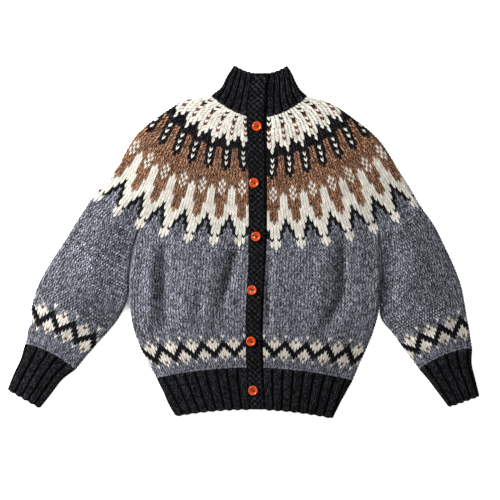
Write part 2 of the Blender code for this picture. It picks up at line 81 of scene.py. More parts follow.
# Stitches
SUBS = 4                # strips across a stitch: two legs, each with a crest between valleys
SHEAR = 0.95            # how far the point of a stitch lies below its sides, in courses
CHART_REPEAT = 8
SLEEVE_STITCH = 5.15    # width of a stitch where the sleeve's count follows its width

# Plain stitch, strip by strip: height of the crests and painted shade of the valleys
STOCKING_CRESTS = (0.0, 1.0, 0.25, 1.0)
STOCKING_SHADE = (1.1, 0.0, 0.42, 0.0)
COURSE_PINCH = 0.15     # share of that height left where one course meets the next
# END_SHADE is the share of the painted valley shade kept at the ends of a plain piece
END_RELIEF, END_SHADE = 0.35, 0.72      # shares of both at the ends of a plain piece

# Two by two rib, strip by strip: two knit stitches, then two purl ones in the valley
RIB_CRESTS = (0.1, 0.95, 0.45, 1.0, 0.3, 1.0, 0.45, 0.95,
              0.1, -0.5, -0.8, -0.9, -0.95, -0.9, -0.8, -0.5)
RIB_KNIT_WIDTH = 3.05   # width of its knit part, out of 4
RIB_SHEAR = 1.1
RIB_END_DROP = 0.8
RIB_PINCH = (-0.4, 0.2) # where one course meets the next, in the knit and in the purl part
# Painted shade in the rib's valleys, and more where one course meets the next
RIB_SHADE, RIB_PINCH_SHADE = 0.62, 0.85

# Moss stitch: steepness and height of its bumps, of the bars between, and their painted shade
MOSS_STEEP, MOSS_BUMP = 2.4, 0.9
MOSS_BAR, MOSS_BAR_HEIGHT = 0.35, 0.3
MOSS_SHADE, MOSS_LEAST_SHADE, MOSS_BAR_SHADE = 0.56, 0.25, 0.1

# Heather: how far the tone of one face, a quarter of a stitch wide, strays, how much of
# that it shares with its neighbour, how much is its own, and how far it may go. The last
# is the spread of whole stitches.
FLECK_SPREAD = 0.56
PAIR_SHARE, STRIP_SHARE = 0.25, 0.95
FLECK_RANGE = (-2.2, 1.25)
STITCH_SPREAD = 0.06

# One row for each section: how far down the piece it lies, its two folded edges, their
# radius, how far the front rises, and how much higher the left and right edge stand
Section = namedtuple("Section", "down left_x left_y right_x right_y edge rise left_up right_up",
                     defaults=(0.0, 0.0))


def yoke_line(x):
    """Lower edge of the yoke: a square and a fourth power of the distance from its middle."""
    across = x - YOKE_MIDDLE_X
    return -16.7 + 4.86e-4 * across ** 2 + 4.58e-9 * across ** 4


SHOULDER_LEFT = (-284.0, yoke_line(-284.0))
SHOULDER_RIGHT = (332.0, yoke_line(332.0))
UNDERARM_LEFT = (-195.0, yoke_line(-195.0))
UNDERARM_RIGHT = (252.0, yoke_line(252.0))
NECK_LEFT = (-62.0, 272.0)
NECK_RIGHT = (119.0, 270.0)
HEM_RIB_LEFT = (-162.0, -253.0)
HEM_RIB_RIGHT = (203.0, -257.0)
CUFF_LEFT = (-406.0, -189.0, -311.0, -237.0)
CUFF_RIGHT = (325.0, -236.0, 425.0, -197.0)

COLLAR = (
    Section(0.00, -18.0, 328.0, 82.0, 327.0, 7.0, 6.5),
    Section(0.34, -31.0, 308.0, 93.0, 307.0, 7.0, 6.5),
    Section(0.67, -42.0, 287.0, 103.0, 286.0, 7.0, 6.0),
    Section(1.00, *NECK_LEFT, *NECK_RIGHT, 7.0, 6.0),
)
YOKE = (
    Section(0.00, *NECK_LEFT, *NECK_RIGHT, 7.0, 6.0),
    Section(0.14, -104.0, 266.0, 160.0, 259.0, 8.0, 6.0),
    Section(0.30, -151.0, 239.0, 203.0, 231.0, 8.0, 6.0),
    Section(0.50, -197.0, 202.0, 249.0, 193.0, 8.0, 6.5),
    Section(0.75, -238.0, 137.0, 292.0, 129.0, 8.0, 7.0),
    Section(1.00, *SHOULDER_LEFT, *SHOULDER_RIGHT, 8.0, 8.0),
)
BODY = (
    Section(0.00, *UNDERARM_LEFT, *UNDERARM_RIGHT, 4.0, 8.0),
    Section(0.16, -206.0, -26.0, 254.0, -31.0, 7.0, 9.0, 1.0, 3.0),
    Section(0.33, -212.0, -73.0, 255.0, -78.0, 8.0, 10.0, 2.0, 6.0),
    Section(0.50, -212.0, -121.0, 252.0, -125.0, 8.0, 10.5, 2.0, 6.5),
    Section(0.67, -203.0, -168.0, 240.0, -170.0, 8.0, 10.5, 1.0, 4.0),
    Section(0.84, -184.0, -214.0, 221.0, -216.0, 8.0, 9.0),
    Section(1.00, *HEM_RIB_LEFT, *HEM_RIB_RIGHT, 7.0, 4.0),
)
HEM_RIB = (
    Section(0.00, *HEM_RIB_LEFT, *HEM_RIB_RIGHT, 7.0, 4.0),
    Section(0.33, -151.0, -277.0, 190.0, -280.0, 7.0, 4.0),
    Section(0.67, -140.0, -301.0, 177.0, -304.0, 7.0, 4.0),
    Section(1.00, -127.0, -323.0, 166.0, -327.0, 7.0, 3.5),
)
SLEEVE_LEFT = (
    Section(0.00, *SHOULDER_LEFT, *UNDERARM_LEFT, 4.0, 8.0),
    Section(0.14, -309.0, 41.0, -206.0, -20.0, 7.0, 9.0, 0.0, -1.5),
    Section(0.29, -331.0, 5.0, -212.0, -62.0, 8.0, 10.0, 0.0, -2.0),
    Section(0.43, -354.0, -30.0, -214.0, -103.0, 8.0, 10.5, 0.0, -1.0),
    Section(0.57, -376.0, -67.0, -230.0, -140.0, 8.0, 10.5),
    Section(0.72, -391.0, -106.0, -256.0, -173.0, 8.0, 10.0),
    Section(0.86, -398.0, -148.0, -284.0, -204.0, 8.0, 8.0),
    Section(1.00, *CUFF_LEFT, 7.0, 3.5),
)
SLEEVE_RIGHT = (
    Section(0.00, *UNDERARM_RIGHT, *SHOULDER_RIGHT, 4.0, 8.0),
    Section(0.14, 255.0, -23.0, 355.0, 30.0, 7.0, 9.0, -3.0, 0.0),
    Section(0.29, 256.0, -62.0, 373.0, -6.0, 8.0, 10.0, -4.0, 0.0),
    Section(0.43, 254.0, -102.0, 390.0, -42.0, 8.0, 10.5, -4.0, 0.0),
    Section(0.57, 254.5, -140.0, 404.0, -79.0, 8.0, 10.5, -2.0, 0.0),
    Section(0.72, 278.0, -172.0, 412.0, -119.0, 8.0, 10.0),
    Section(0.86, 301.0, -204.0, 419.0, -158.0, 8.0, 8.0),
    Section(1.00, *CUFF_RIGHT, 7.0, 3.5),
)
CUFF_LEFT_RIB = (
    Section(0.00, *CUFF_LEFT, 7.0, 3.5),
    Section(0.33, -414.0, -217.0, -336.0, -256.0, 7.0, 3.5),
    Section(0.67, -427.0, -245.0, -357.0, -283.0, 7.0, 3.5),
    Section(1.00, -438.0, -273.0, -377.0, -308.0, 7.0, 3.5),
)
CUFF_RIGHT_RIB = (
    Section(0.00, *CUFF_RIGHT, 7.0, 3.5),
    Section(0.33, 344.0, -258.0, 424.0, -226.0, 7.0, 3.5),
    Section(0.67, 362.0, -282.0, 431.0, -256.0, 7.0, 3.5),
    Section(1.00, 380.0, -306.0, 438.0, -285.0, 7.0, 3.5),
)

# One row for each crease: middle, half length, half width, lean from the y axis in
# degrees, and height over the cloth round it, negative for a trough. The first eleven
# are in the solids too, the rest are fine ones that only show here.
Fold = namedtuple("Fold", "x y length width lean height")

FOLDS = (
    Fold(-144.0, -82.0, 84.0, 9.0, 0.0, -7.0),
    Fold(-173.0, -90.0, 80.0, 13.0, -2.0, 2.5),
    Fold(-116.0, -95.0, 85.0, 15.0, 0.0, 2.5),
    Fold(-25.0, -66.0, 62.0, 9.0, -13.0, -5.0),
    Fold(-62.0, -100.0, 75.0, 13.0, -6.0, 3.0),
    Fold(-81.0, -122.0, 32.0, 6.0, 0.0, -2.5),
    Fold(48.0, -95.0, 66.0, 6.0, 0.0, -3.0),
    Fold(188.0, -48.0, 52.0, 9.0, 0.0, -5.5),
    Fold(170.0, -122.0, 44.0, 10.0, -25.0, -5.0),
    Fold(142.0, -80.0, 75.0, 15.0, -12.0, 3.0),
    Fold(217.0, -100.0, 75.0, 13.0, 4.0, 2.0),
    Fold(86.0, -28.0, 20.0, 12.0, 20.0, -1.6),
    Fold(-176.0, -90.0, 74.0, 10.0, 0.0, 2.2),
    Fold(-153.0, -84.0, 76.0, 11.0, 0.0, -4.6),
    Fold(-124.0, -86.0, 78.0, 18.0, 0.0, -5.2),
    Fold(-22.0, -52.0, 48.0, 13.0, -16.0, -4.6),
    Fold(-2.0, -70.0, 56.0, 15.0, -13.0, -3.0),
    Fold(181.0, -58.0, 60.0, 10.0, 0.0, -4.2),
    Fold(205.0, -52.0, 54.0, 15.0, 0.0, -3.8),
    Fold(182.0, -120.0, 42.0, 13.0, -25.0, -3.6),
    Fold(44.0, -98.0, 40.0, 5.0, 4.0, -2.4),
    Fold(272.0, -62.0, 74.0, 13.0, 0.0, -4.0),
    Fold(-262.0, 34.0, 26.0, 11.0, 55.0, -1.4),
    Fold(-300.0, -62.0, 44.0, 13.0, 32.0, -1.3),
    Fold(-331.0, -120.0, 40.0, 12.0, 12.0, -1.2),
    Fold(316.0, 22.0, 28.0, 11.0, -50.0, -1.4),
    Fold(338.0, -70.0, 48.0, 13.0, -26.0, -1.3),
    Fold(352.0, -150.0, 38.0, 12.0, -18.0, -1.1),
    Fold(-120.0, 96.0, 34.0, 16.0, 38.0, -0.9),
    Fold(196.0, 92.0, 34.0, 16.0, -36.0, -0.9),
)

# Shallow hollows on the underside, which lifts off the floor a little where they are
UNDER_FOLDS = (
    Fold(-90.0, -120.0, 70.0, 16.0, 8.0, 1.2),
    Fold(60.0, -70.0, 85.0, 18.0, -14.0, 1.4),
    Fold(175.0, -140.0, 55.0, 14.0, 22.0, 1.1),
    Fold(-20.0, 90.0, 60.0, 20.0, 65.0, 1.2),
    Fold(130.0, 130.0, 55.0, 18.0, -50.0, 1.0),
    Fold(-320.0, -60.0, 50.0, 14.0, 30.0, 1.1),
    Fold(345.0, -80.0, 50.0, 14.0, -24.0, 1.1),
)

# One row for each height y on the front: left edge of the buttonhole band, its free
# edge, and the edge of the other front, where the button band is joined
Opening = namedtuple("Opening", "y left free right")

OPENING = (
    Opening(311.0, 14.0, 47.0, 50.5),
    Opening(287.0, 11.0, 39.5, 48.0),
    Opening(263.0, 8.0, 39.0, 45.5),
    Opening(226.0, 6.0, 36.5, 43.0),
    Opening(170.0, 9.0, 38.0, 43.5),
    Opening(96.0, 9.5, 39.0, 43.0),
    Opening(4.0, 10.0, 39.0, 42.5),
    Opening(-52.0, 8.5, 36.5, 40.0),
    Opening(-107.0, 5.5, 33.5, 37.5),
    Opening(-163.0, 4.0, 31.5, 35.5),
    Opening(-231.0, 5.5, 33.0, 36.5),
    Opening(-312.0, 11.0, 38.0, 41.5),
)
HIDDEN_LAP = 25.0       # width of the button band under the other one
LAP_DROP = WALL + 1.0   # how far it falls over that width
REST_GAP = 0.3          # between the two bands
COLLAR_CURL = 3.6       # how far the buttonhole band's free edge stands up at the collar
CURL_Y, CURL_REACH = 268.0, 34.0        # where that is highest, and how far it reaches
BAND_STITCHES = 5
BAND_COURSE = 5.2
BAND_PLUMP = 0.25       # how far its stitches stand over the band's own solid
BAND_EASE = 0.12        # share of its width over which it comes up from the left front
BAND_EDGE_DROP = 0.9    # how far its long edges are rounded down
BAND_BULGE = 0.35       # how far its free edge stands out
BAND_EDGE_MIDDLE = 0.55 # share of the wall at which it does so
# Painted shade on the band's free edge and underside
UNDERSIDE_SHADE = 0.4

# Buttons: radius and height of each ring from the back round the rim to the dished
# floor, then the painted shade and highlight at each radius (darker at the middle, at the
# dish's foot and at the outer edge, lighter on the rim's crest), then the two holes
BUTTON_PROFILE = (
    (7.6, 0.0), (8.2, 0.25), (8.7, 0.9), (8.93, 1.4), (9.0, 1.9), (8.9, 2.45), (8.5, 3.0),
    (8.0, 3.35), (7.4, 3.5), (6.8, 3.4), (6.2, 3.1), (5.7, 2.65), (5.3, 2.3),
)
BUTTON_PAINTED_SHADE = (
    (0.0, 0.2), (2.0, 0.25), (3.6, 0.72), (5.0, 0.75), (5.6, 0.55), (6.9, 1.1), (7.8, 1.05),
    (8.5, 0.6), (9.0, 0.25),
)
BUTTON_FLOOR = 5.3
BUTTON_DISH = 0.35
BUTTON_HOLE = 1.1
BUTTON_HOLE_PLACE = 2.4
BUTTON_HOLE_TURN = -35.0
BUTTON_HOLE_EDGE = 0.12 # how far each hole's edge is sunk
BUTTON_RINGS = 5        # rings of corners from each hole to the edge of its half floor
BUTTON_COUNT = 6
SHARP_ANGLE = 55.0      # degrees from which an edge stays crisp
THREAD_RADIUS = 0.4
THREAD_APART = 0.42     # half the distance between the two strands

# Yarns by their letters in the charts, and how strongly the heather of each varies. In the
# charcoal the strong flecks are partly painted highlights, the shine of its fibres
YARNS = {
    "G": ("grey", 1.3), "K": ("black", 1.8), "B": ("brown", 1.15), "b": ("dark_brown", 0.5),
    "W": ("cream", 0.16),
}

# Chart of the yoke from its lower edge up. Each row is one repeat of the pattern.
YOKE_CHART = (
    "GGGWGGGG", "GGWWWGGG", "GGWWWGGG", "GGKWKGGG", "GKWWWKGG", "GKWWWKGG", "KKWWWKKG",
    "KWWWWWKG", "KWWWWWKK", "WWWBWWWK", "WWBBBWWK", "WWBBBWWW", "WWBBBWWW", "WWBBBWWW",
    "WBBBBBWW", "WBBBBBWW", "WBBBBBWW", "WBBWBBWW", "WBWBWBWW", "BBBWBBBW", "BBWBWBBB",
    "BBBWBBBB", "BBBBBBBB",
    "BBBBBB", "BBBBBB", "BBKBBB", "BKKKBB", "BKWKBB", "BKKKBB",
    "BKWKB", "BKKKB", "BKWKB", "BKKKB", "KKKKK", "KKWKK", "KKWKK",
    "WWWK", "WWWK", "WbWW", "WWWW", "WbWW", "WWWW", "WbWW",
    "WKW", "WWW", "WKW", "WWW",
)
YOKE_REPEATS = 28

# By the share of the way down the yoke: repeats between the opening and a folded edge, and
# how many stitches of the pattern the seams of the left and of the right front take up
Turn = namedtuple("Turn", "share repeats left right")

YOKE_TURNS = (
    Turn(0.00, 5.25, 1.4, 0.1),
    Turn(0.10, 5.45, 1.2, 0.35),
    Turn(0.20, 5.9, 1.05, 0.6),
    Turn(0.45, 6.85, 0.7, 0.65),
    Turn(0.65, 6.8, 0.85, 1.0),
    Turn(1.00, 6.65, 0.3, 0.1),
)

# How far the yoke's courses lie above an even spacing, in millimetres: by the share of
# the way down the chart, beside the opening on the left front and at the right shoulder
Lift = namedtuple("Lift", "share left right")

LIFTS = (
    Lift(0.00, 0.0, 0.0),
    Lift(0.22, 11.0, 0.5),
    Lift(0.42, 14.5, 3.7),
    Lift(0.57, 13.0, 6.5),
    Lift(0.77, 7.0, 10.0),
    Lift(1.00, 7.0, 15.0),
)
PLAIN_STRIP = 1.6       # height left at least for the plain course below the chart
# Across the piece: middle and reach of the left lift, start and width of the right one
LIFT_MIDDLE, LIFT_REACH = 8.0, 75.0
SHOULDER_START, SHOULDER_REACH = 190.0, 140.0

# Border above the ribs of hem and cuffs, from the rib up
BORDER_CHART = (
    "GGGGGGGG", "GGGGGGGG", "GGGGGGGG", "WGGGWGGG", "bWGGKGGW", "WWWKKKWW", "WWKKKKKW",
    "WKKKWKKK", "KKKWWWKK", "KKWWWWWK", "KGGWbWGG", "GGGGWGGG", "WGGGGGGG",
)

# One row for each knitted piece. bows are the bows of its first and last section, on the
# front and on the back, in millimetres, or YOKE for one that follows the yoke's edge.
# turn names the outer folded edge of a tube. phase is where the border's pattern starts
# and low how many more plain courses lie below it.
Panel = namedtuple(
    "Panel", "name sections bows fade open turn ribbed courses stitches chart phase low slot",
    defaults=("", 0, 0, "black_wool")
)
ON_YOKE = None
PANELS = (
    Panel("collar", COLLAR, (-17.0, -15.0, -41.0, -6.0), 1, True, "", True, 11, 86),
    Panel("yoke", YOKE, (-41.0, -6.0, ON_YOKE, ON_YOKE), 1, True, "", False, 48, 0, "yoke", 0,
          0, "patterned_wool"),
    Panel("body", BODY, (ON_YOKE, ON_YOKE, 22.0, 22.0), 2, True, "", False, 45, 169, "border", 0,
          0, "grey_wool"),
    Panel("hem_rib", HEM_RIB, (22.0, 22.0, 15.0, 15.0), 1, True, "", True, 14, 146),
    Panel("sleeve_left", SLEEVE_LEFT, (ON_YOKE, ON_YOKE, 8.0, 8.0), 2, False, "left", False,
          48, 56, "border", 0, 2, "grey_wool"),
    Panel("sleeve_right", SLEEVE_RIGHT, (ON_YOKE, ON_YOKE, 8.0, 8.0), 2, False, "right", False,
          48, 56, "border", 4, 0, "grey_wool"),
    Panel("cuff_left", CUFF_LEFT_RIB, (8.0, 8.0, 0.0, 0.0), 1, False, "left", True, 17, 44),
    Panel("cuff_right", CUFF_RIGHT_RIB, (8.0, 8.0, 0.0, 0.0), 1, False, "right", True, 17, 44),
)

# Floor, lights and camera, in metres, but lens and sensor in millimetres. The floor glows
# a little, a painted light that lightens the shadows on it. For each axis, DARK_FLOOR has
# the middle of a part of the floor that does not glow, the distance from there at which
# its glow starts, and the one from which it is full.
FLOOR_HALF = 6.0
FLOOR_DROP = 0.0003
DARK_FLOOR = {"X": (0.022, 0.255, 0.275), "Y": (-0.02, 0.095, 0.115)}
KEY_PLACE, KEY_SIZE = (-1.7, 0.95, 1.12), 0.9
TOP_PLACE, TOP_SIZE = (-0.08, 0.32, 2.3), 0.2
LENS, SENSOR = 100.0, 36.0

# Wool: strength of its soft noise, how much paler yarn weakens the painted valley shade,
# the least share of the colour that the painted shade leaves, and how the strands lean
# and repeat across and along a stitch
SOFT_NOISE = 0.12
PALE_SHARE = 0.68
DARKEST = 0.04
STRAND_LEAN, STRANDS_ACROSS, STRANDS_ALONG = 0.3, 22.0, 1.7

# Flat size of each cut, all round: width, length and area in metres
Cut = namedtuple("Cut", "width length area")


def smooth_table(rows, at):
    """Every column of a table at the given places of its first column.

    Between two rows the curve is a cubic whose slope at each row comes from that row's
    two neighbours.
    """
    table = np.array(rows, dtype=float)
    table = table[np.argsort(table[:, 0])]
    places = table[:, 0]
    slopes = np.gradient(table, places, axis=0)
    at = np.asarray(at, dtype=float)
    here = np.clip(np.searchsorted(places, at) - 1, 0, len(places) - 2)
    span = (places[here + 1] - places[here])[..., None]
    t = (at - places[here])[..., None] / span
    start = (1 + 2 * t) * (1 - t) ** 2 * table[here] + t * (1 - t) ** 2 * span * slopes[here]
    end = t * t * (3 - 2 * t) * table[here + 1] + t * t * (t - 1) * span * slopes[here + 1]
    return start + end


def edge_lines():
    """Both folded edges of every piece as straight bits: their starts and their ends."""
    starts = []
    ends = []
    for panel in PANELS:
        rows = smooth_table(panel.sections, np.linspace(0.0, 1.0, EDGE_STEPS))
        for side in (rows[:, 1:3], rows[:, 3:5]):
            starts.append(side[:-1])
            ends.append(side[1:])
    return np.concatenate(starts), np.concatenate(ends)


EDGE_STARTS, EDGE_ENDS = edge_lines()


def distance_to_edge(x, y):
    """Distance in plan from each point to the nearest folded edge of any piece."""
    nearest = np.full(x.shape, np.inf)
    for start, end in zip(EDGE_STARTS, EDGE_ENDS):
        along = end - start
        share = ((x - start[0]) * along[0] + (y - start[1]) * along[1]) / (along @ along)
        share = np.clip(share, 0.0, 1.0)
        away = np.hypot(x - start[0] - share * along[0], y - start[1] - share * along[1])
        nearest = np.minimum(nearest, away)
    return nearest


def fold_height(x, y, folds):
    """Sum of the creases: each fades as a bell across and as a flat bell along."""
    total = np.zeros(x.shape)
    for fold in folds:
        lean = np.radians(fold.lean)
        along = (y - fold.y) * np.cos(lean) - (x - fold.x) * np.sin(lean)
        across = (x - fold.x) * np.cos(lean) + (y - fold.y) * np.sin(lean)
        total += fold.height * np.exp(-(along / fold.length) ** 4 - (across / fold.width) ** 2)
    return total


def unevenness(x, y):
    """Gentle waves of hand-knitted cloth: a sum of five sines that run in different ways."""
    total = np.zeros(x.shape)
    for length, way, start in WAVES:
        along = x * np.cos(way) + y * np.sin(way)
        total += WAVE_HEIGHT * np.sin(along * 2 * np.pi / length + start)
    return total


def bow(panel, downs, share, front):
    """How far each point leaves the straight line between its section's edges, to the neck.

    A numbered bow is an arch, height times 4 u (1 - u). The other kind carries the line
    onto the yoke's lower edge. Front and back are mixed by front, start and end by down.
    """
    first, last = panel.sections[0], panel.sections[-1]
    values = []
    for section, height in zip((first, first, last, last), panel.bows):
        if height is ON_YOKE:
            x = section.left_x + share * (section.right_x - section.left_x)
            y = section.left_y + share * (section.right_y - section.left_y)
            values.append(yoke_line(x) - y)
        else:
            values.append(height * 4.0 * share * (1.0 - share))
    start = front * values[0] + (1.0 - front) * values[1]
    end = front * values[2] + (1.0 - front) * values[3]
    return start * (1.0 - downs) ** panel.fade + end * downs ** panel.fade


def plan_point(panel, rows, downs, share, front):
    """Place in plan at a share of each section, between its left and right folded edge."""
    x = rows[:, 1:2] + share * (rows[:, 3:4] - rows[:, 1:2])
    y = rows[:, 2:3] + share * (rows[:, 4:5] - rows[:, 2:3])
    shift = np.where(downs == 0.0, -SEAM_GAP / 2, np.where(downs == 1.0, SEAM_GAP / 2, 0.0))
    return x, y + bow(panel, downs, share, front) + shift


def front_height(rows, x, y, share):
    """Height of the front: it rises away from folded edges, plus the creases and waves.

    The sum is held over LOWEST_FRONT, where the front would meet the back, by a soft bend.
    """
    distance = distance_to_edge(x, y)
    width = np.hypot(rows[:, 3:4] - rows[:, 1:2], rows[:, 4:5] - rows[:, 2:3])
    height = EDGE_HEIGHT + rows[:, 6:7] * (1.0 - np.exp(-(distance / LOFT_REACH) ** 2))
    height = height + rows[:, 7:8] * np.exp(-(share * width / EDGE_REACH) ** 2)
    height = height + rows[:, 8:9] * np.exp(-((1.0 - share) * width / EDGE_REACH) ** 2)
    inside = 1.0 - np.exp(-(distance / FOLD_REACH) ** 2)
    height = height + (fold_height(x, y, FOLDS) + unevenness(x, y)) * inside
    return LOWEST_FRONT + SOFT_BEND * np.logaddexp(0.0, (height - LOWEST_FRONT) / SOFT_BEND)


def opening_share(panel, rows, downs, side):
    """Share at which each section's front stops at the opening, found by corrections."""
    share = np.full((len(rows), 1), 0.5)
    for _ in range(OPENING_ROUNDS):
        x, y = plan_point(panel, rows, downs, share, 1.0)
        edge = smooth_table(OPENING, y)
        target = edge[..., 1] - SEAM_GAP / 2 if side == "left" else edge[..., 3] + SEAM_GAP / 2
        share = share + (target - x) / (rows[:, 3:4] - rows[:, 1:2])
    return share


def section_runs(panel, rows, downs, margin, fine):
    """Places round each section: share, front or back, turn round an edge, and side.

    An open piece runs from its right front round the back to its left front. A tube
    starts and ends in the middle of its inner folded edge.
    """
    count = len(rows)
    front_points, arc_points, back_points = fine
    one = np.ones((count, 1))

    def flat(start, end, points, front):
        """Shares at even steps over the front, 1, or the back, 0."""
        steps = np.linspace(0.0, 1.0, points + 1)[:-1]
        return start + (end - start) * steps, front, None, 0

    def arc(start, end, points, side):
        """Turns at even steps round the left edge, -1, or the right one, 1."""
        return one * np.nan, None, np.linspace(start, end, points + 1)[:-1], side

    if panel.open:
        right = opening_share(panel, rows, downs, "right")
        left = opening_share(panel, rows, downs, "left")
        runs = [
            flat(right, 1.0 - margin, front_points, 1.0),
            arc(np.pi, 0.0, arc_points, 1),
            flat(1.0 - margin, margin, back_points, 0.0),
            arc(0.0, np.pi, arc_points, -1),
            flat(margin, left, front_points, 1.0),
        ]
        last = (left, 1.0, np.nan, 0)
    elif panel.turn == "left":
        runs = [
            arc(np.pi / 2, 0.0, arc_points // 2, 1),
            flat(1.0 - margin, margin, back_points, 0.0),
            arc(0.0, np.pi, arc_points, -1),
            flat(margin, 1.0 - margin, front_points, 1.0),
            arc(np.pi, np.pi / 2, arc_points // 2, 1),
        ]
        last = (one * np.nan, None, np.pi / 2, 1)
    else:
        runs = [
            arc(np.pi / 2, np.pi, arc_points // 2, -1),
            flat(margin, 1.0 - margin, front_points, 1.0),
            arc(np.pi, 0.0, arc_points, 1),
            flat(1.0 - margin, margin, back_points, 0.0),
            arc(0.0, np.pi / 2, arc_points // 2, -1),
        ]
        last = (one * np.nan, None, np.pi / 2, -1)
    shares, fronts, turns, sides = [], [], [], []
    for share, front, turn, side in runs:
        points = share.shape[1] if turn is None else len(turn)
        shares.append(np.broadcast_to(share, (count, points)))
        turns.append(np.full(points, np.nan) if turn is None else turn)
        fronts.append(np.full(points, 0.0 if front is None else front))
        sides.append(np.full(points, side))
    shares.append(last[0])
    fronts.append(np.array([0.0 if last[1] is None else last[1]]))
    turns.append(np.array([last[2]]))
    sides.append(np.array([last[3]]))
    return (np.concatenate(shares, axis=1), np.concatenate(fronts), np.concatenate(turns),
            np.concatenate(sides))


def cloth_face(panel, downs, wall, fine):
    """One face of a piece as an array of sections by places by 3, in millimetres.

    wall is 0 for the outer face and WALL for the inner one. Round a folded edge the
    points follow an arc: inwards by 1 - sin of the turn and up by 1 - cos of it.
    """
    rows = smooth_table(panel.sections, downs)
    column = downs[:, None]
    if panel.name == "sleeve_right":
        rows[:, 1] += CREASE_GAP * np.minimum(1.0, 2.0 * (1.0 - downs))
    width = np.hypot(rows[:, 3:4] - rows[:, 1:2], rows[:, 4:5] - rows[:, 2:3])
    edge = rows[:, 5:6]
    margin = edge / width
    share, front, turn, side = section_runs(panel, rows, column, margin, fine)
    round_edge = ~np.isnan(turn)
    bend = np.where(round_edge, turn, 0.0)
    inwards = (wall + (edge - wall) * (1.0 - np.sin(bend))) / width
    on_arc = np.where(side < 0, inwards, 1.0 - inwards)
    share = np.where(round_edge, on_arc, share)
    mix = np.where(round_edge, (1.0 - np.cos(bend)) / 2, front)
    x, y = plan_point(panel, rows, column, share, mix)
    tops = []
    for top_share in (margin, 1.0 - margin):
        top_x, top_y = plan_point(panel, rows, column, top_share, 1.0)
        tops.append(front_height(rows, top_x, top_y, top_share))
    top = np.where(side < 0, tops[0], tops[1])
    arc_height = wall + (top / 2 - wall) * (1.0 - np.cos(bend))
    upper = front_height(rows, x, y, share) - wall
    clear = 1.0 - np.exp(-(distance_to_edge(x, y) / FOLD_REACH) ** 2)
    under = wall + fold_height(x, y, UNDER_FOLDS) * clear
    flat_height = np.where(front > 0.5, upper, under)
    return np.stack((x, y, np.where(round_edge, arc_height, flat_height)), axis=-1)


def interp_rows(places, values, rows, at):
    """Straight-line interpolation in many rows at once, laid end to end on one axis."""
    span = float(places.max()) * 1.5 + 1.0
    axis = (places + span * np.arange(len(places))[:, None]).ravel()
    spot = at + span * rows
    columns = [np.interp(spot, axis, values[..., k].ravel()) for k in range(values.shape[-1])]
    return np.stack(columns, axis=-1)


def run_length(grid, axis):
    """Length covered along one axis of a grid of points, from 0 at its start."""
    steps = np.linalg.norm(np.diff(grid, axis=axis), axis=-1)
    start = np.zeros_like(np.take(steps, [0], axis=axis))
    return np.concatenate((start, np.cumsum(steps, axis=axis)), axis=axis)


def even_lines(grid, lines, spaced=None):
    """The same face with its lines evenly spaced in plan along every place, or spaced."""
    run = run_length(grid[..., :2], 0)
    run = run / run[-1]
    places = grid.shape[1]
    rows = np.repeat(np.arange(places), lines)
    at = np.tile(np.linspace(0.0, 1.0, lines), places) if spaced is None else spaced.ravel()
    even = interp_rows(run.T, grid.transpose(1, 0, 2), rows, at)
    return even.reshape(places, lines, 3).transpose(1, 0, 2)


def yoke_spacing(grid, lines):
    """Shares of the way down at which the yoke's lines lie, for each place round it.

    The chart's lines are even less the lift at their place: a bell beside the opening on
    the left front and a smooth step towards the right shoulder. One plain course follows.
    """
    path = run_length(grid[..., :2], 0)[-1][:, None]
    x = grid[len(grid) // 2, :, 0][:, None]
    share = np.minimum(1.0, np.arange(lines) / (lines - 3.0))[None, :]
    table = np.array(LIFTS)
    number = np.arange(grid.shape[1])[:, None]
    beside = np.exp(-((x - LIFT_MIDDLE) / LIFT_REACH) ** 2) * (number > OPEN_TURNS[1])
    step = np.clip((x - SHOULDER_START) / SHOULDER_REACH, 0.0, 1.0)
    shoulder = step * step * (3.0 - 2.0 * step)
    lift = PLAIN_STRIP * share + np.interp(share, table[:, 0], table[:, 1]) * beside
    lift = lift + np.interp(share, table[:, 0], table[:, 2]) * shoulder
    at = share - lift / path
    at[:, -2] = (at[:, -3] + 1.0) / 2
    at[:, -1] = 1.0
    return at


def yoke_codes():
    """Yarn letters of each course of the yoke, from the neck down.

    An even repeat leaves out one stitch at the opening, so that both fronts mirror, and
    the bands' seams take up one at each front edge.
    """
    courses = []
    for row in (*YOKE_CHART[::-1], "GGGGGGGG"):
        count = YOKE_REPEATS * len(row) - (len(row) + 1) % 2
        courses.append(np.resize(np.array(list(row)), count)[1:-1])
    return courses


def border_codes(panel, counts):
    """Yarn letters of each course of a grey piece with the border above its rib."""
    courses = []
    for number, count in enumerate(counts):
        from_rib = len(counts) - 1 - number - panel.low
        letters = np.full(count, "G")
        if 0 <= from_rib < len(BORDER_CHART):
            row = np.array(list(BORDER_CHART[from_rib]))
            middle = 0 if panel.open else count // 2 + panel.phase
            letters = row[(np.arange(count) - middle) % CHART_REPEAT]
        courses.append(letters)
    return courses


def chart_codes(panel, counts):
    """Yarn letters of each course of a piece, from its upper end down."""
    if panel.chart == "yoke":
        return yoke_codes()
    if panel.chart == "border":
        return border_codes(panel, counts)
    return [np.full(count, "K") for count in counts]


def stitch_counts(panel, around):
    """Stitches in each course. A sleeve's count follows its girth down to the border.

    From the rib up it grows by two stitches a course at most.
    """
    if panel.chart == "yoke":
        return np.array([len(row) for row in yoke_codes()])
    if panel.ribbed or panel.open:
        return np.full(panel.courses, panel.stitches)
    girth = around[1::2, -1]
    counts = 2 * np.round(girth / (2 * SLEEVE_STITCH)).astype(int)
    from_rib = np.arange(panel.courses)[::-1]
    counts[from_rib < len(BORDER_CHART) + panel.low + 1] = panel.stitches
    below_top = np.maximum.accumulate(counts[::-1])[::-1]
    widest = int(np.argmax(counts))
    counts[widest:] = below_top[widest:]
    rise = 2 * from_rib
    return (rise + np.minimum.accumulate((counts - rise)[::-1])[::-1])


def rib_spread(stitch):
    """Places of stitches in a two by two rib, the two knit ones wider than the two purl."""
    group = 4.0 * np.floor(stitch / 4.0)
    return group + np.interp(stitch - group, (0.0, 2.0, 4.0), (0.0, RIB_KNIT_WIDTH, 4.0))


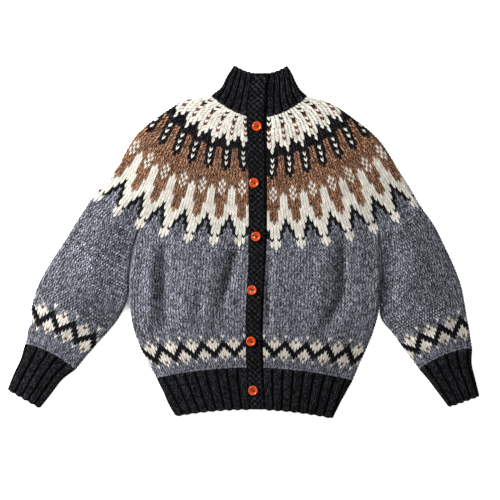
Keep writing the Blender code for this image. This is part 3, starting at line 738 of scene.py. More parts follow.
def stitch_marks(panel, count, run, down):
    """Stitch numbers and lengths along a line that pin the stitches to folded edges."""
    total = run[-1]
    if not panel.open:
        return (0.0, count / 2, count), (0.0, run[TURN_PLACE[panel.turn]], total)
    if panel.chart == "yoke":
        _, repeats, left, right = smooth_table(YOKE_TURNS, down)
        turn = repeats * (count + 2) / YOKE_REPEATS
        first, last = run[OPEN_TURNS[0]], run[OPEN_TURNS[1]]
        near_right = (4.0 - right) * first / (turn - right)
        near_left = (4.0 - left) * (total - last) / (turn - left)
        return ((0.0, 3.0, turn - 1.0, count + 1.0 - turn, count - 3.0, count),
                (0.0, near_right, first, last, total - near_left, total))
    return (0.0, count), (0.0, total)


def stocking_relief(stitch, line, depth):
    """Height, from -depth to 0, and painted shade of the valleys, in plain stocking stitch.

    Each stitch has a crest on both legs, a deep valley to its neighbours, a shallow one
    in its middle, and is pinched where one course meets the next.
    """
    step = np.round(stitch * SUBS).astype(int) % SUBS
    along = 1.0 if line % 2 == 1 else COURSE_PINCH
    full = np.array(STOCKING_CRESTS)[step] * along
    return -depth * (1.0 - full), np.array(STOCKING_SHADE)[step] + 1.0 - along


def rib_relief(stitch, line, height):
    """Height and painted shade in a two by two rib: two columns of stitches, then a purl valley."""
    step = np.round(stitch * SUBS).astype(int) % (4 * SUBS)
    across = np.array(RIB_CRESTS)[step]
    along = 0.0 if line % 2 == 1 else np.where(across > 0.0, *RIB_PINCH)
    shade = RIB_SHADE * (1.0 - across) + RIB_PINCH_SHADE * (line % 2 == 0)
    return height * (across + along - 1.0), shade


def zip_lines(first, second):
    """Faces between two lines of corners, quads where they match and triangles elsewhere.

    Each line is its corner numbers and their places. A segment's third corner is the one
    that the other line has reached by the segment's end.
    """
    a, at_a = first
    b, at_b = second
    if len(a) == len(b):
        quads = np.stack((a[:-1], b[:-1], b[1:], a[1:]), axis=1)
        return quads, None, np.arange(len(a) - 1), None
    reached_b = np.searchsorted(at_b[1:], at_a[1:], side="left")
    reached_a = np.searchsorted(at_a[1:], at_b[1:], side="right")
    from_a = np.stack((a[1:], a[:-1], b[reached_b]), axis=1)
    from_b = np.stack((b[:-1], b[1:], a[reached_a]), axis=1)
    owners = np.concatenate((np.minimum(reached_b, len(b) - 2), np.arange(len(b) - 1)))
    return None, np.concatenate((from_a, from_b)), None, owners


def fill_layer(mesh, name, kind, domain, field, values):
    """New attribute of a mesh, filled from an array."""
    layer = mesh.attributes.new(name, kind, domain)
    layer.data.foreach_set(field, values.astype(np.float32).ravel())


def same_yarn(number):
    """Owner for a shell's faces where every segment has the yarn of one number."""
    return lambda segment: np.full(len(segment), number)


class Shell:
    """Closed cloth being put together: lines of corners and the faces between them."""

    def __init__(self):
        self.points = []
        self.uv = []
        self.shade = []
        self.used = 0
        self.joins = []
        self.quads = []
        self.triangles = []
        self.quad_owner = []
        self.triangle_owner = []

    def add_line(self, points, uv, shade, closed):
        """Put in one line of corners and give their numbers. A loop ends where it starts."""
        ids = np.arange(self.used, self.used + len(points))
        self.points.append(points)
        self.uv.append(uv)
        self.shade.append(shade)
        self.used += len(points)
        if closed:
            self.joins.append((ids[-1], ids[0]))
        return ids

    def add_faces(self, first, second, owner, flip=False):
        """Faces between two lines. owner gives the yarn's number for each segment."""
        quads, triangles, quad_owner, triangle_owner = zip_lines(first, second)
        if quads is not None:
            self.quads.append(quads[:, ::-1] if flip else quads)
            self.quad_owner.append(owner(quad_owner))
        else:
            self.triangles.append(triangles[:, ::-1] if flip else triangles)
            self.triangle_owner.append(owner(triangle_owner))

    def build(self, name, yarns):
        """Mesh with its corners joined, its UV map, and the yarn of each face.

        A face's tone is e to the power of its stray, less half the spread's square, so
        that the mean stays the yarn's own.
        """
        points = np.concatenate(self.points)
        uv = np.concatenate(self.uv)
        shade = np.concatenate(self.shade)
        target = np.arange(self.used)
        for last, first in self.joins:
            target[last] = first
        kept, numbers = np.unique(target, return_inverse=True)
        quads = np.concatenate(self.quads)
        triangles = np.concatenate(self.triangles) if self.triangles else np.zeros((0, 3), int)
        owners = np.concatenate(self.quad_owner + self.triangle_owner)
        mesh = bpy.data.meshes.new(name)
        faces = numbers[quads].tolist() + numbers[triangles].tolist()
        centre = np.array((0.0, OUTLINE_CENTRE_Y * MM, 0.0))
        mesh.from_pydata(points[kept] * MM - centre, [], faces)
        corners = np.concatenate((quads.ravel(), triangles.ravel()))
        sizes = np.concatenate((np.full(len(quads), 4), np.full(len(triangles), 3)))
        layer = mesh.uv_layers.new(name="stitches")
        layer.data.foreach_set("uv", uv[corners].astype(np.float32).ravel())
        random = np.random.default_rng(len(owners))
        pairs = np.repeat(random.normal(0.0, 1.0, len(owners) // 2 + 1), 2)[:len(owners)]
        stray = PAIR_SHARE * pairs + STRIP_SHARE * random.normal(0.0, 1.0, len(owners))
        stray = np.clip(stray, *FLECK_RANGE)
        tones = yarns[owners]
        spread = FLECK_SPREAD * tones[:, 3:]
        tones[:, :3] *= np.exp(spread * stray[:, None] - spread ** 2 / 2)
        colours = np.repeat(tones, sizes, axis=0)
        full = np.concatenate((colours[:, :3], np.ones((len(colours), 1))), axis=1)
        fill_layer(mesh, "yarn", "FLOAT_COLOR", "CORNER", "color", full)
        fill_layer(mesh, "flecks", "FLOAT", "CORNER", "value", colours[:, 3])
        # Painted shade in the valleys, one value at each corner
        fill_layer(mesh, "valley", "FLOAT", "POINT", "value", shade[kept])
        mesh.shade_smooth()
        mesh.validate(clean_customdata=False)
        mesh.update()
        return mesh


def yarn_table(scene, courses):
    """Red, green, blue and flecks of every stitch, then the mean of every course."""
    letters = np.concatenate(courses)
    table = np.zeros((len(letters), 4))
    for letter, (name, flecks) in YARNS.items():
        table[letters == letter] = (*getattr(scene.cardigan_yarns, name), flecks)
    spread = np.random.default_rng(len(letters)).normal(1.0, STITCH_SPREAD, len(letters))
    table[:, :3] *= spread[:, None]
    starts = np.concatenate(([0], np.cumsum([len(row) for row in courses])))
    sums = np.add.reduceat(table, starts[:-1], axis=0)
    means = sums / np.diff(starts)[:, None]
    return np.concatenate((table, means)), starts


def millimetres(length):
    """Length setting in millimetres, without the last digits of its single precision."""
    return round(length / MM, 4)


def unit(vectors):
    """The same vectors with length 1."""
    return vectors / np.maximum(np.linalg.norm(vectors, axis=-1, keepdims=True), 1e-9)


def stitch_line(scene, panel, line, lines, count, run, values):
    """One line of corners on the outer face: points, UV map and painted valley shade.

    A corner starts on the cloth's face. It moves along the wale, down in the middle of a
    stitch and up at its sides, and along the normal by the stitch's relief. On the front
    of a rib the crests stand at the cloth's face, and the free end runs in scallops.
    """
    looks = scene.cardigan_knit
    stitch = np.arange(count * SUBS + 1) / SUBS
    spread = rib_spread(stitch) if panel.ribbed else stitch
    if panel.ribbed and panel.open:
        spread = spread / rib_spread(np.array(float(count))) * count
    marks, lengths = stitch_marks(panel, count, run[0], line / (lines - 1))
    here = interp_rows(run, values, 0, np.interp(spread, marks, lengths))
    points, way, normal = here[:, :3], here[:, 3:6], unit(here[:, 6:])
    from_top = line + 0.9 if panel.chart == "yoke" else line
    ends = min(1.0, from_top / 1.5, (lines - 1 - line) / 1.5)
    slope = SHEAR * (0.5 - np.abs(2.0 * (stitch % 1.0) - 1.0)) * ends
    at_end = line in (0, lines - 1)
    if panel.ribbed:
        height = millimetres(looks.rib_height)
        relief, shade = rib_relief(stitch, line, height)
        slope = RIB_SHEAR * slope * (stitch % 4.0 <= 2.0)
        relief = relief + height * np.clip(normal[:, 2], 0.0, 1.0) - RIB_END_DROP * at_end
        if line == (0 if panel.name == "collar" else lines - 1):
            away = millimetres(looks.scallop) * np.cos((stitch - 1.0) * np.pi / 2)
            points = points + (away * np.sign(line - 0.5))[:, None] * unit(way)
    else:
        relief, shade = stocking_relief(stitch, line, millimetres(looks.stitch_depth))
        if at_end:
            relief, shade = END_RELIEF * relief, END_SHADE * shade
    moved = points + slope[:, None] * 2.0 * way + relief[:, None] * normal
    moved[:, 2] = np.maximum(moved[:, 2], 0.0)
    return moved, np.stack((stitch, -line / 2.0 - slope), axis=1), shade


def add_inner_face(shell, panel, counts, means):
    """Plain inner face, one wall further in, in the mean yarn of each course: its lines."""
    face = cloth_face(panel, np.linspace(0.0, 1.0, FACE_SECTIONS), WALL, INNER_FINE)
    face = even_lines(face, INNER_LINES)
    run = run_length(face, 1)
    courses = [min(panel.courses - 1, int(line / (INNER_LINES - 1) * panel.courses))
               for line in range(INNER_LINES)]
    inner = []
    for line, course in enumerate(courses):
        share = run[line] / run[line, -1]
        uv = np.stack((share * counts[course], np.full(len(share), -float(course))), axis=1)
        # The inner face gets an even painted shade of one half
        ids = shell.add_line(face[line], uv, np.full(len(share), 0.5), not panel.open)
        inner.append((ids, share))
    for line, course in enumerate(courses[:-1]):
        shell.add_faces(inner[line + 1], inner[line], same_yarn(means + course))
    return inner


def add_rims(shell, panel, outer, inner, means):
    """Rims between both faces: at both ends, and down both front edges of an open piece."""
    last = panel.courses - 1
    top, low = [(ids, np.linspace(0.0, 1.0, len(ids))) for ids, _ in (outer[0], outer[-1])]
    shell.add_faces(low, inner[-1], same_yarn(means + last))
    shell.add_faces(inner[0], top, same_yarn(means))
    if panel.open:
        step = np.linspace(0.0, 1.0, INNER_LINES)
        course = np.minimum(last, (step[:-1] * panel.courses).astype(int))
        for end, flip in ((0, False), (-1, True)):
            outside = np.array([ids[end] for ids, _ in outer])
            inside = np.array([ids[end] for ids, _ in inner])
            shell.add_faces(
                (outside, np.linspace(0.0, 1.0, len(outer))), (inside, step),
                lambda segment: means + course[np.minimum(segment, len(course) - 1)], flip
            )


def knit_panel(scene, panel):
    """One knitted piece: stitches on the outer face, a plain inner face and rims between.

    Every course has two lines of corners. The cut's width is the longest way round the
    face, its length the longest way down, and its area the sum of the face's small cells.
    """
    lines = 2 * panel.courses + 1
    face = cloth_face(panel, np.linspace(0.0, 1.0, FACE_SECTIONS), 0.0, OUTER_FINE)
    face = even_lines(face, lines, yoke_spacing(face, lines) if panel.chart == "yoke" else None)
    around = run_length(face, 1)
    counts = stitch_counts(panel, around)
    yarns, starts = yarn_table(scene, chart_codes(panel, counts))
    down_way = np.gradient(face, axis=0)
    out = unit(np.cross(down_way, np.gradient(face, axis=1)))
    values = np.concatenate((face, down_way, out), axis=-1)
    shell = Shell()
    outer = []
    for line in range(lines):
        count = counts[max(0, (line - 1) // 2)]
        here = slice(line, line + 1)
        moved, uv, shade = stitch_line(scene, panel, line, lines, count, around[here], values[here])
        ids = shell.add_line(moved, uv, shade, not panel.open)
        stitch = uv[:, 0]
        outer.append((ids, stitch / count if panel.open else stitch - count / 2.0))
    for line in range(lines - 1):
        base, most = starts[line // 2], counts[line // 2] - 1
        shell.add_faces(outer[line], outer[line + 1],
                        lambda segment: base + np.minimum(segment // SUBS, most))
    inner = add_inner_face(shell, panel, counts, starts[-1])
    add_rims(shell, panel, outer, inner, starts[-1])
    mesh = shell.build(panel.name + "_knit", yarns)
    cells = np.cross(face[1:, :-1] - face[:-1, :-1], face[:-1, 1:] - face[:-1, :-1])
    area = float(np.linalg.norm(cells, axis=-1).sum() * MM * MM)
    width = float(around[:, -1].max() * MM)
    return mesh, Cut(width, float(run_length(face, 0)[-1].max() * MM), area)


def front_edge_lines():
    """Both fronts' edges along the opening, from the collar down, as arrays of points."""
    sides = []
    for side in ("left", "right"):
        points = []
        for panel in [panel for panel in PANELS if panel.open]:
            downs = np.linspace(0.0, 1.0, FRONT_EDGE_STEPS)
            rows = smooth_table(panel.sections, downs)
            share = opening_share(panel, rows, downs[:, None], side)
            x, y = plan_point(panel, rows, downs[:, None], share, 1.0)
            z = front_height(rows, x, y, share)
            points.append(np.concatenate((x, y, z), axis=1)[1 if points else 0:])
        sides.append(np.concatenate(points))
    return sides


def band_section(side, y, left, right):
    """Places across and heights of the upper face of a band at each y.

    The button band falls from the edge of the right front to its hidden edge. The
    buttonhole band starts at the edge of the left front and climbs over it, as high as
    the straight line to its free edge or as the other band, whichever is higher.
    """
    def at(front, column):
        """Value of one column of a front's edge at each y."""
        order = np.argsort(front[:, 1])
        return np.interp(y, front[order, 1], front[order, column])[:, None]

    joined = at(right, 0) - SEAM_GAP
    shares = np.linspace(0.0, 1.0, BAND_STITCHES * SUBS + 1)[None, :]
    if side == "under":
        x = joined - HIDDEN_LAP + HIDDEN_LAP * shares
        return x, at(right, 2) - LAP_DROP * (joined - x) / HIDDEN_LAP
    free = smooth_table(OPENING, y)[:, 2:3]
    start_x = at(left, 0) + SEAM_GAP
    x = start_x + (free - start_x) * shares
    rest = at(right, 2) - LAP_DROP * (joined - x) / HIDDEN_LAP + REST_GAP
    start = at(left, 2) - WALL
    climb = start + (rest[:, -1:] - start) * shares
    curl = COLLAR_CURL * shares ** 2 * np.exp(-((y - CURL_Y) / CURL_REACH) ** 2)[:, None]
    ease = 1.0 - np.exp(-(shares / BAND_EASE) ** 2)
    return x, start + (np.maximum(climb, rest) - start) * ease + WALL + curl


def moss_relief(stitch, line):
    """Height and painted shade in moss stitch: bumps and hollows in turn, both ways, with steep
    sides.
    """
    bumps = np.tanh(MOSS_STEEP * np.cos(np.pi * stitch) * np.cos(np.pi * (line / 2.0)))
    bumps = bumps / np.tanh(MOSS_STEEP)
    bars = MOSS_BAR * np.cos(2 * np.pi * stitch) * np.cos(np.pi * line)
    shade = MOSS_SHADE * (1.0 - bumps) + MOSS_LEAST_SHADE + MOSS_BAR_SHADE * bars
    return MOSS_BUMP * (bumps - 1.0) + MOSS_BAR_HEIGHT * bars, shade


def knit_band(scene, side, name):
    """One front band: moss stitch above, a plain underside and rounded long edges.

    Each line of corners is a loop: over the upper face, down the free edge and back
    along every fifth strip of the underside.
    """
    left, right = front_edge_lines()
    top_y = min(left[0, 1], right[0, 1])
    low_y = max(left[-1, 1], right[-1, 1])
    lines = 2 * int(round((top_y - low_y) / BAND_COURSE)) + 1
    y = np.linspace(top_y, low_y, lines)
    x, top = band_section(side, y, left, right)
    stitch = np.arange(x.shape[1]) / SUBS
    relief, shade = moss_relief(stitch[None, :], np.arange(lines)[:, None])
    edge_fade = np.minimum(1.0, 2.0 * np.minimum(stitch, stitch[-1] - stitch) + 0.3)
    upper = top + BAND_PLUMP + relief * edge_fade
    upper[:, [0, -1]] -= BAND_EDGE_DROP
    under = np.arange(0, x.shape[1], 5)[::-1]
    loop_x = np.concatenate((x, x[:, -1:] + BAND_BULGE, x[:, under], x[:, :1]), axis=1)
    bulge_z = top[:, -1:] - WALL * BAND_EDGE_MIDDLE
    loop_z = np.concatenate((upper, bulge_z, top[:, under] - WALL, upper[:, :1]), axis=1)
    # Painted shade on the free edge's bulge and on the underside
    below = np.full((lines, 2 + len(under)), UNDERSIDE_SHADE)
    loop_shade = np.concatenate((shade, below), axis=1)
    wide = stitch[-1]
    loop_u = np.concatenate((stitch, [wide + 0.3], wide + 0.8 + stitch[under[::-1]],
                             [2 * wide + 1.6]))
    shell = Shell()
    rows = []
    for k in range(lines):
        points = np.stack((loop_x[k], np.full(len(loop_u), y[k]), loop_z[k]), axis=1)
        uv = np.stack((loop_u, np.full(len(loop_u), -k / 2.0)), axis=1)
        ids = shell.add_line(points, uv, loop_shade[k], True)
        rows.append((ids, np.linspace(0.0, 1.0, len(ids))))
    for k in range(lines - 1):
        shell.add_faces(rows[k], rows[k + 1], same_yarn(0))
    for k, flip in ((0, False), (lines - 1, True)):
        ids = rows[k][0]
        upper_ids = ids[:x.shape[1]]
        bulge_ids = ids[x.shape[1]:x.shape[1] + 1]
        lower_ids = np.concatenate((ids[:1], ids[-2:x.shape[1]:-1], bulge_ids))
        lower, above = [(part, np.linspace(0.0, 1.0, len(part))) for part in (lower_ids, upper_ids)]
        shell.add_faces(lower, above, same_yarn(0), not flip)
    yarns, _ = yarn_table(scene, [np.array(["K", "K"])])
    mesh = shell.build(name, yarns)
    length = float((y[0] - y[-1]) * MM)
    width = float((x[:, -1] - x[:, 0]).mean() * MM)
    return mesh, Cut(width, length, width * length)


def node(tree, kind, **sockets):
    """One shader node with its sockets set, or linked where the value is an output."""
    made = tree.nodes.new(kind)
    for name, value in sockets.items():
        key = int(name[1:]) if name[0] == "_" and name[1:].isdigit() else name.replace("_", " ")
        if isinstance(value, bpy.types.NodeSocket):
            tree.links.new(value, made.inputs[key])
        else:
            made.inputs[key].default_value = value
    return made


def maths(tree, operation, a, b=0.0):
    """One math node: its output."""
    made = node(tree, "ShaderNodeMath", _0=a, _1=b)
    made.operation = operation
    return made.outputs[0]


def attribute(tree, name):
    """Node that reads one of the mesh's own attributes."""
    made = tree.nodes.new("ShaderNodeAttribute")
    made.attribute_name = name
    return made


def object_place(tree):
    """Each point's place in Object coordinates."""
    return tree.nodes.new("ShaderNodeTexCoord").outputs["Object"]


def noise(tree, place, scale, detail, **more):
    """Noise from 0 to 1 at a place: its output."""
    made = node(tree, "ShaderNodeTexNoise", Vector=place, Scale=scale, Detail=detail, **more)
    return made.outputs["Fac"]


def mixed(tree, factor, first, second):
    """Colour between two colours by a factor: its output."""
    mix = tree.nodes.new("ShaderNodeMix")
    mix.data_type = "RGBA"
    tree.links.new(factor, mix.inputs["Factor"])
    mix.inputs["A"].default_value = (*first, 1.0)
    mix.inputs["B"].default_value = (*second, 1.0)
    return mix.outputs["Result"]


def scaled(tree, colour, scale):
    """Colour times a number: its output."""
    made = node(tree, "ShaderNodeVectorMath", _0=colour)
    made.operation = "SCALE"
    tree.links.new(scale, made.inputs["Scale"])
    return made.outputs["Vector"]


def new_material(name, **settings):
    """Material whose Principled shader has the given settings: it, its tree and shader."""
    material = bpy.data.materials.new(name)
    material.use_nodes = True
    shader = material.node_tree.nodes["Principled BSDF"]
    for key, value in settings.items():
        shader.inputs[key.replace("_", " ")].default_value = value
    return material, material.node_tree, shader


def wool_material(scene, name):
    """Yarn: the stitch's colour with heather flecks, painted shade in the valleys, strands and
    fuzz.

    The colour is scaled by 1 plus fine and soft noise, times 1 less the painted valley shade,
    which is less in pale yarn. Flecks and fuzz are noise in Object coordinates. Strands
    are noise drawn out along the stitch's legs on the UV map.
    """
    looks = scene.cardigan_knit
    material, tree, shader = new_material(
        name, Roughness=0.95, Specular_IOR_Level=0.05, Sheen_Weight=0.015, Sheen_Roughness=0.5)
    place = object_place(tree)
    strength = maths(tree, "MULTIPLY", attribute(tree, "flecks").outputs["Fac"], looks.flecks)
    fine = maths(tree, "SUBTRACT", noise(tree, place, 650.0, 3.0, Roughness=0.7), 0.5)
    slow = maths(tree, "SUBTRACT", noise(tree, place, 90.0, 2.0, Roughness=0.6), 0.5)
    slow = maths(tree, "MULTIPLY", slow, SOFT_NOISE)
    bright = maths(tree, "ADD", maths(tree, "MULTIPLY", fine, strength), slow)
    bright = maths(tree, "ADD", bright, 1.0)
    # Painted shade: darker in the valleys between stitches, less in pale yarn, never below DARKEST
    pale = maths(tree, "MULTIPLY", attribute(tree, "yarn").outputs["Fac"], PALE_SHARE)
    depth = maths(tree, "MULTIPLY", maths(tree, "SUBTRACT", 1.0, pale), looks.valley_shade)
    valley = maths(tree, "MULTIPLY", attribute(tree, "valley").outputs["Fac"], depth)
    bright = maths(tree, "MULTIPLY", bright, maths(tree, "SUBTRACT", 1.0, valley))
    bright = maths(tree, "MAXIMUM", bright, DARKEST)
    colour = scaled(tree, attribute(tree, "yarn").outputs["Color"], bright)
    tree.links.new(colour, shader.inputs["Base Color"])
    stitches = tree.nodes.new("ShaderNodeUVMap")
    stitches.uv_map = "stitches"
    split = node(tree, "ShaderNodeSeparateXYZ", Vector=stitches.outputs["UV"])
    part = maths(tree, "FRACT", split.outputs["X"])
    leg = maths(tree, "ABSOLUTE", maths(tree, "SUBTRACT", part, 0.5))
    rise = maths(tree, "FRACT", split.outputs["Y"])
    lean = maths(tree, "SUBTRACT", leg, maths(tree, "MULTIPLY", rise, STRAND_LEAN))
    drawn = node(tree, "ShaderNodeCombineXYZ", X=maths(tree, "MULTIPLY", lean, STRANDS_ACROSS),
                 Y=maths(tree, "MULTIPLY", split.outputs["Y"], STRANDS_ALONG),
                 Z=maths(tree, "FLOOR", split.outputs["X"]))
    first = node(tree, "ShaderNodeBump", Strength=0.55, Distance=0.0005,
                 Height=noise(tree, drawn.outputs["Vector"], 1.0, 2.0))
    second = node(tree, "ShaderNodeBump", Strength=looks.fuzz, Distance=0.0003,
                  Height=noise(tree, place, 2600.0, 2.0), Normal=first.outputs["Normal"])
    tree.links.new(second.outputs["Normal"], shader.inputs["Normal"])
    return material


def button_material(scene, name):
    """Moulded plastic: orange with slight swirls of a deeper tone under a gloss.

    An attribute of painted shade and highlight, by radius, darkens the colour towards the middle,
    at the dish's foot and at the outer edge, and lightens it on the rim's crest.
    """
    material, tree, shader = new_material(name, Roughness=0.1, Specular_IOR_Level=0.4)
    place = object_place(tree)
    base = tuple(scene.cardigan_yarns.button)
    swirl = noise(tree, place, 260.0, 3.0, Distortion=1.2)
    colour = mixed(tree, swirl, [value * 0.82 for value in base], base)
    colour = scaled(tree, colour, attribute(tree, "tone").outputs["Fac"])
    tree.links.new(colour, shader.inputs["Base Color"])
    bump = node(tree, "ShaderNodeBump", Strength=0.08, Distance=0.0002,
                Height=noise(tree, place, 420.0, 1.0))
    tree.links.new(bump.outputs["Normal"], shader.inputs["Normal"])
    return material


def thread_material(name):
    """Sewing thread: dark, with fine noise for its twist."""
    material, tree, shader = new_material(name, Roughness=0.7)
    twist = noise(tree, object_place(tree), 3000.0, 1.0)
    colour = mixed(tree, twist, (0.012, 0.01, 0.012), (0.06, 0.035, 0.03))
    tree.links.new(colour, shader.inputs["Base Color"])
    return material


def floor_material(scene, name):
    """Pale sweep, near white with a trace of grain, that glows a little: painted light
    that lightens the garment's shadow on it.

    It does not glow under the garment's middle, so no light comes up beside the sleeves.
    """
    studio = scene.cardigan_studio
    material, tree, shader = new_material(
        name, Roughness=0.9, Specular_IOR_Level=0.1, Emission_Color=(1.0, 1.0, 1.0, 1.0))
    place = object_place(tree)
    base = tuple(studio.floor)
    colour = mixed(tree, noise(tree, place, 4.0, 2.0), [value * 0.99 for value in base], base)
    tree.links.new(colour, shader.inputs["Base Color"])
    split = node(tree, "ShaderNodeSeparateXYZ", Vector=place)
    outside = 0.0
    for axis, (middle, near, far) in DARK_FLOOR.items():
        away = maths(tree, "ABSOLUTE", maths(tree, "SUBTRACT", split.outputs[axis], middle))
        fade = node(tree, "ShaderNodeMapRange", Value=away, From_Min=near, From_Max=far)
        outside = maths(tree, "MAXIMUM", outside, fade.outputs["Result"])
    glow = maths(tree, "MULTIPLY", outside, studio.glow)
    tree.links.new(glow, shader.inputs["Emission Strength"])
    return material


def add_piece(scene, mesh, name, make_material, slot, nodes):
    """Finished piece at the origin, riding on the frame and standing for its CAD nodes."""
    finish = slot + "_finish"
    mesh.materials.append(bpy.data.materials.get(finish) or make_material(scene, finish))
    thing = bpy.data.objects.new(name, mesh)
    scene.collection.objects.link(thing)
    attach(thing, "root")
    if nodes:
        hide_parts(*nodes)
    return thing


def add_panel(scene, name):
    """One knitted piece by its name, laid on the floor."""
    panel = next(panel for panel in PANELS if panel.name == name)
    mesh, cut = knit_panel(scene, panel)
    thing = add_piece(scene, mesh, name + "_knit", wool_material, panel.slot, [name])


def button_frame(number):
    """Axes and middle of the back of a CAD button, from its own corners.

    The corners lie evenly round the axis, and the axis is the direction in which they
    spread least.
    """
    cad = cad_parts[f"button_{number}"]
    corners = np.empty(len(cad.data.vertices) * 3)
    cad.data.vertices.foreach_get("co", corners)
    corners = np.unique(np.round(corners.reshape(-1, 3), 6), axis=0)
    spots = (corners.min(axis=0) + corners.max(axis=0)) / 2
    axes = np.linalg.svd(corners - corners.mean(axis=0), full_matrices=False)[2]
    up = axes[2] * np.sign(axes[2][2])
    heights = (corners - spots) @ up
    middle = spots + up * heights.min()
    return middle, up


def around_axis(up):
    """Right-handed axes whose third is up and whose first is turned to the thread holes."""
    turn = np.radians(BUTTON_HOLE_TURN)
    first = np.array((np.cos(turn), np.sin(turn), 0.0))
    first = first - up * (first @ up)
    first /= np.linalg.norm(first)
    return np.stack((first, np.cross(up, first), up))


def hole_rays(count_arc=30, count_line=14):
    """Directions from a hole's middle, and how far each goes to the edge of its half floor.

    The half floor is bounded by a circle and by the line midway between the holes.
    """
    corner = np.arctan2(BUTTON_FLOOR, -BUTTON_HOLE_PLACE)
    arc = np.linspace(-corner, corner, count_arc + 1)
    line = np.linspace(corner, 2 * np.pi - corner, count_line + 1)[1:-1]
    angles = np.concatenate((arc, line))
    cos, sin = np.cos(angles), np.sin(angles)
    reach = -BUTTON_HOLE_PLACE * cos + np.sqrt(BUTTON_FLOOR ** 2 - (BUTTON_HOLE_PLACE * sin) ** 2)
    with np.errstate(divide="ignore"):
        to_line = np.where(cos < 0, -BUTTON_HOLE_PLACE / np.minimum(cos, -1e-9), np.inf)
    return angles, np.minimum(reach, to_line), count_arc


def ring_quads(grid):
    """Quads between the rings of a grid of corner numbers, where each ring is a loop."""
    beside = np.roll(grid, -1, axis=1)
    return np.stack((grid[:-1], beside[:-1], beside[1:], grid[1:]), axis=-1).reshape(-1, 4)


def button_shell():
    """Corners and faces of one button in millimetres, its back at height 0.

    The dished floor and the back are each two half discs. In each half, rings grow from
    the hole to the half's edge along the same rays. Rim rings are turned from those rays'
    ends on the circle.
    """
    angles, reach, count_arc = hole_rays()
    points, faces = [], []
    steps = np.linspace(0.0, 1.0, BUTTON_RINGS)
    count = len(angles)
    for side in (1.0, -1.0):
        grids = []
        for upper in (True, False):
            away = BUTTON_HOLE + (reach - BUTTON_HOLE)[None, :] * steps[:, None]
            x = side * (BUTTON_HOLE_PLACE + away * np.cos(angles))
            y = away * np.sin(angles)
            z = np.zeros_like(x)
            if upper:
                z += BUTTON_PROFILE[-1][1]
                z -= BUTTON_DISH * (1.0 - (x * x + y * y) / BUTTON_FLOOR ** 2)
                z[0] -= BUTTON_HOLE_EDGE
            start = sum(len(part) for part in points)
            points.append(np.stack((x, y, z), axis=-1).reshape(-1, 3))
            grids.append(start + np.arange(len(steps) * count).reshape(len(steps), count))
        for grid, flip in ((grids[0], side < 0), (grids[1], side > 0)):
            quads = ring_quads(grid)[:, [0, 3, 2, 1]]
            faces.append(quads[:, ::-1] if flip else quads)
        wall = ring_quads(np.stack((grids[0][0], grids[1][0])))
        faces.append(wall[:, ::-1] if side < 0 else wall)
    ends_x = BUTTON_HOLE_PLACE + reach * np.cos(angles)
    ends_y = reach * np.sin(angles)
    right = np.arctan2(ends_y[:count_arc + 1], ends_x[:count_arc + 1])
    turn = np.concatenate((right, np.pi - right[-2:0:-1]))
    profile = [(BUTTON_FLOOR, 0.0)] + list(BUTTON_PROFILE)
    start = sum(len(part) for part in points)
    for radius, height in profile:
        points.append(np.stack(
            (radius * np.cos(turn), radius * np.sin(turn), np.full(len(turn), height)), axis=-1))
    faces.append(ring_quads(start + np.arange(len(profile) * len(turn)).reshape(len(profile), -1)))
    corners = np.concatenate(points)
    kept, numbers = np.unique(np.round(corners, 4), axis=0, return_inverse=True)
    return kept, numbers.ravel()[np.concatenate(faces)]


def thread_tube():
    """Two strands of thread through the holes, as rings round a path of points."""
    place = BUTTON_HOLE_PLACE
    path = np.array(((-place, -2.2), (-place, 0.8), (-place + 0.1, 2.2), (-place + 0.7, 2.9),
                     (-1.0, 3.05), (0.0, 3.1), (1.0, 3.05), (place - 0.7, 2.9),
                     (place - 0.1, 2.2), (place, 0.8), (place, -2.2)))
    way = unit(np.gradient(path, axis=0))
    turn = np.linspace(0.0, 2 * np.pi, 9)[:-1]
    points, faces = [], []
    for offset in (-THREAD_APART, THREAD_APART):
        start = sum(len(part) for part in points)
        x = path[:, 0:1] - way[:, 1:2] * THREAD_RADIUS * np.cos(turn)
        z = path[:, 1:2] + way[:, 0:1] * THREAD_RADIUS * np.cos(turn)
        y = offset + THREAD_RADIUS * np.sin(turn) + 0.0 * x
        points.append(np.stack((x, y, z), axis=-1).reshape(-1, 3))
        grid = start + np.arange(x.size).reshape(x.shape)
        faces.append(ring_quads(grid)[:, ::-1])
        for ring, flip in ((grid[0], False), (grid[-1], True)):
            caps = ring[np.array(((0, 1, 2, 3), (0, 3, 4, 7), (4, 5, 6, 7)))]
            faces.append(caps[:, ::-1] if flip else caps)
    return np.concatenate(points), np.concatenate(faces)


def plain_mesh(name, points, quads):
    """Smooth mesh from corners in metres and quads."""
    mesh = bpy.data.meshes.new(name)
    mesh.from_pydata(points, [], quads.tolist())
    mesh.shade_smooth()
    mesh.update()
    return mesh


def add_light(scene, name, place, size, power, aim):
    """Round area light of a width and power, at a place and turned to a point."""
    lamp = bpy.data.lights.new(name, "AREA")
    lamp.shape = "DISK"
    lamp.size = size
    lamp.energy = power
    light = bpy.data.objects.new(name, lamp)
    light.location = place
    light.rotation_euler = (aim - light.location).to_track_quat("-Z", "Y").to_euler()
    scene.collection.objects.link(light)
    return light


def tint(name, description, default):
    """Setting for a colour."""
    return FloatVectorProperty(name=name, description=description, subtype="COLOR", size=3,
                               min=0.0, max=1.0, default=default)


def amount(name, description, default, most, least=0.0, **kind):
    """Setting for a number between a least and a most."""
    return FloatProperty(name=name, description=description, min=least, max=most,
                         default=default, **kind)


class CardiganYarns(bpy.types.PropertyGroup):
    """Colours of the yarns and of the buttons."""

    grey: tint("Grey heather", "Main yarn", (0.262, 0.269, 0.316))
    black: tint("Charcoal", "Ribs, bands and dark stitches", (0.0245, 0.024, 0.0285))
    brown: tint("Brown heather", "Brown ground of the yoke", (0.39, 0.203, 0.122))
    dark_brown: tint("Dark brown", "Single stitches in the white", (0.22, 0.062, 0.018))
    cream: tint("Cream", "White figures", (0.825, 0.78, 0.695))
    button: tint("Buttons", "Colour of the buttons", (0.64, 0.062, 0.001))


